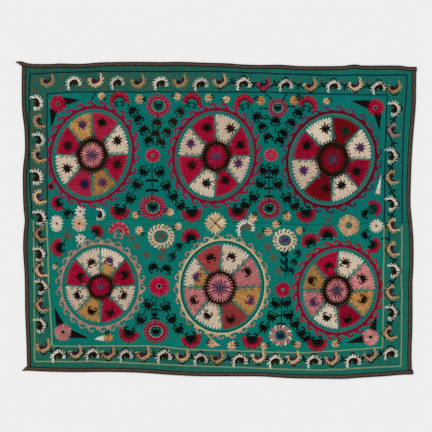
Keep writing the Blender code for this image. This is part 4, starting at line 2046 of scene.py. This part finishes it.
@dataclass(frozen=True)
class Studio:
    """The pale floor, soft light and camera that show the cloth from straight above."""

    floor_colour: Colour = (240, 240, 240)
    floor_size: float = 40000.0
    floor_drop: float = 0.6
    sensor: float = 36.0
    view_width: float = 2376.0
    view_height: float = 6000.0
    view_across: float = 215.5
    view_down: float = 215.45
    room_light: float = 0.55
    lamp_light: float = 2.05
    lamp_spread: float = 28.0
    lamp_turn: tuple[float, float, float] = (-34.0, -36.0, 0.0)

    def floor(self) -> None:
        """Makes the floor that the cloth lies on."""
        bpy.ops.mesh.primitive_plane_add(
            size=self.floor_size * MM, location=(0, 0, -self.floor_drop * MM))
        floor = bpy.context.object
        floor.name = "floor"
        pale = Shader("pale floor", 0.9, sheen=0.0)
        pale.surface.inputs["Base Color"].default_value = linear(self.floor_colour)
        floor.data.materials.append(pale.material)

    def light(self) -> None:
        """Sets the even room light and one large soft light from the upper left."""
        scene = bpy.context.scene
        scene.view_settings.view_transform = "Standard"
        scene.world = scene.world or bpy.data.worlds.new("room")
        scene.world.use_nodes = True
        room = scene.world.node_tree.nodes["Background"]
        room.inputs["Color"].default_value = (1, 1, 1, 1)
        room.inputs["Strength"].default_value = self.room_light
        lamp = bpy.data.lights.new("soft light", "SUN")
        lamp.angle = math.radians(self.lamp_spread)
        lamp.energy = self.lamp_light
        lit = bpy.data.objects.new("soft light", lamp)
        lit.rotation_euler = [math.radians(turn) for turn in self.lamp_turn]
        scene.collection.objects.link(lit)

    def camera(self) -> None:
        """Points a long lens straight down at the cloth."""
        lens = bpy.data.cameras.new("camera")
        lens.type = "PERSP"
        lens.sensor_width = self.sensor
        lens.lens = self.sensor * self.view_height / self.view_width
        x, y = photo_spot(self.view_across, self.view_down)
        seen = bpy.data.objects.new("camera", lens)
        seen.location = (x * MM, y * MM, self.view_height * MM)
        bpy.context.scene.collection.objects.link(seen)
        bpy.context.scene.camera = seen

    def build(self) -> None:
        """Makes the whole stage."""
        self.floor()
        self.light()
        self.camera()


def cloth_widths() -> tuple[Piece, Piece]:
    """Makes both widths of cotton, either side of the seam.

    Returns:
        The upper and the lower width.
    """
    gap = CLOTH.piece_gap / 2
    upper = ClothWidth(
        "upper_cotton_width", "upper_panel",
        CottonFinish("upper teal cotton", (4, 112, 102), (20, 88, 75)), "upper_cotton",
        lambda x: through(CLOTH.seam, x) + gap, lambda x: through(CLOTH.top, x) - CLOTH.inset)
    lower = ClothWidth(
        "lower_cotton_width", "lower_panel",
        CottonFinish("lower teal cotton", (8, 116, 102), (20, 90, 76)), "lower_cotton",
        lambda x: through(CLOTH.bottom, x) + CLOTH.inset, lambda x: through(CLOTH.seam, x) - gap,
        band_full=0.75, band_loss=0.2)
    return upper.build(), lower.build()


def braids() -> list[Piece]:
    """Makes the four braids.

    Returns:
        The braids.
    """
    finish = BraidFinish()
    made = (
        LongBraid("braid_top_woven", "braid_top", finish),
        LongBraid("braid_bottom_woven", "braid_bottom", finish, edge=CLOTH.bottom, inward=1,
                  tip=-1066.0, root=-1040.0, stub=7.0),
        SideBraid("braid_left_woven", "braid_left", finish),
        SideBraid("braid_right_woven", "braid_right", finish, edge=CLOTH.right, inward=-1),
    )
    return [braid.build() for braid in made]


def main() -> None:
    """Builds the stage, the cloth, its braids and its embroidery."""
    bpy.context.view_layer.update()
    Studio().build()
    upper, lower = cloth_widths()
    edging = braids()
    stitched = [GUARDS.build("guard_lines_navy", GUARD_NAVY, "upper"),
                GUARDS.build("guard_lines_olive", GUARD_OLIVE, "lower")]
    stitched.extend(side.build() for side in BORDERS)
    for medallion in MEDALLIONS:
        stitched.extend(medallion.build())
    for seed, (name, motifs) in enumerate(SPRAYS.items()):
        work = Stitching(name, 100 + seed)
        for motif in motifs:
            work.tone = work.draw.uniform(-0.4, 0.4)
            motif.stitch(work)
        stitched.append(work.build())
    for piece in (upper, lower, *edging, *stitched):
        log.info("%s: %d faces", piece.name, len(piece.data.polygons))
    seam_side = {True: [], False: []}
    for piece in stitched:
        seam_side[sum(v.co.y for v in piece.data.vertices) > 0].append(piece)
    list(seam_side[True])
    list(seam_side[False])
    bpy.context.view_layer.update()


if __name__ == "__main__":
    main()
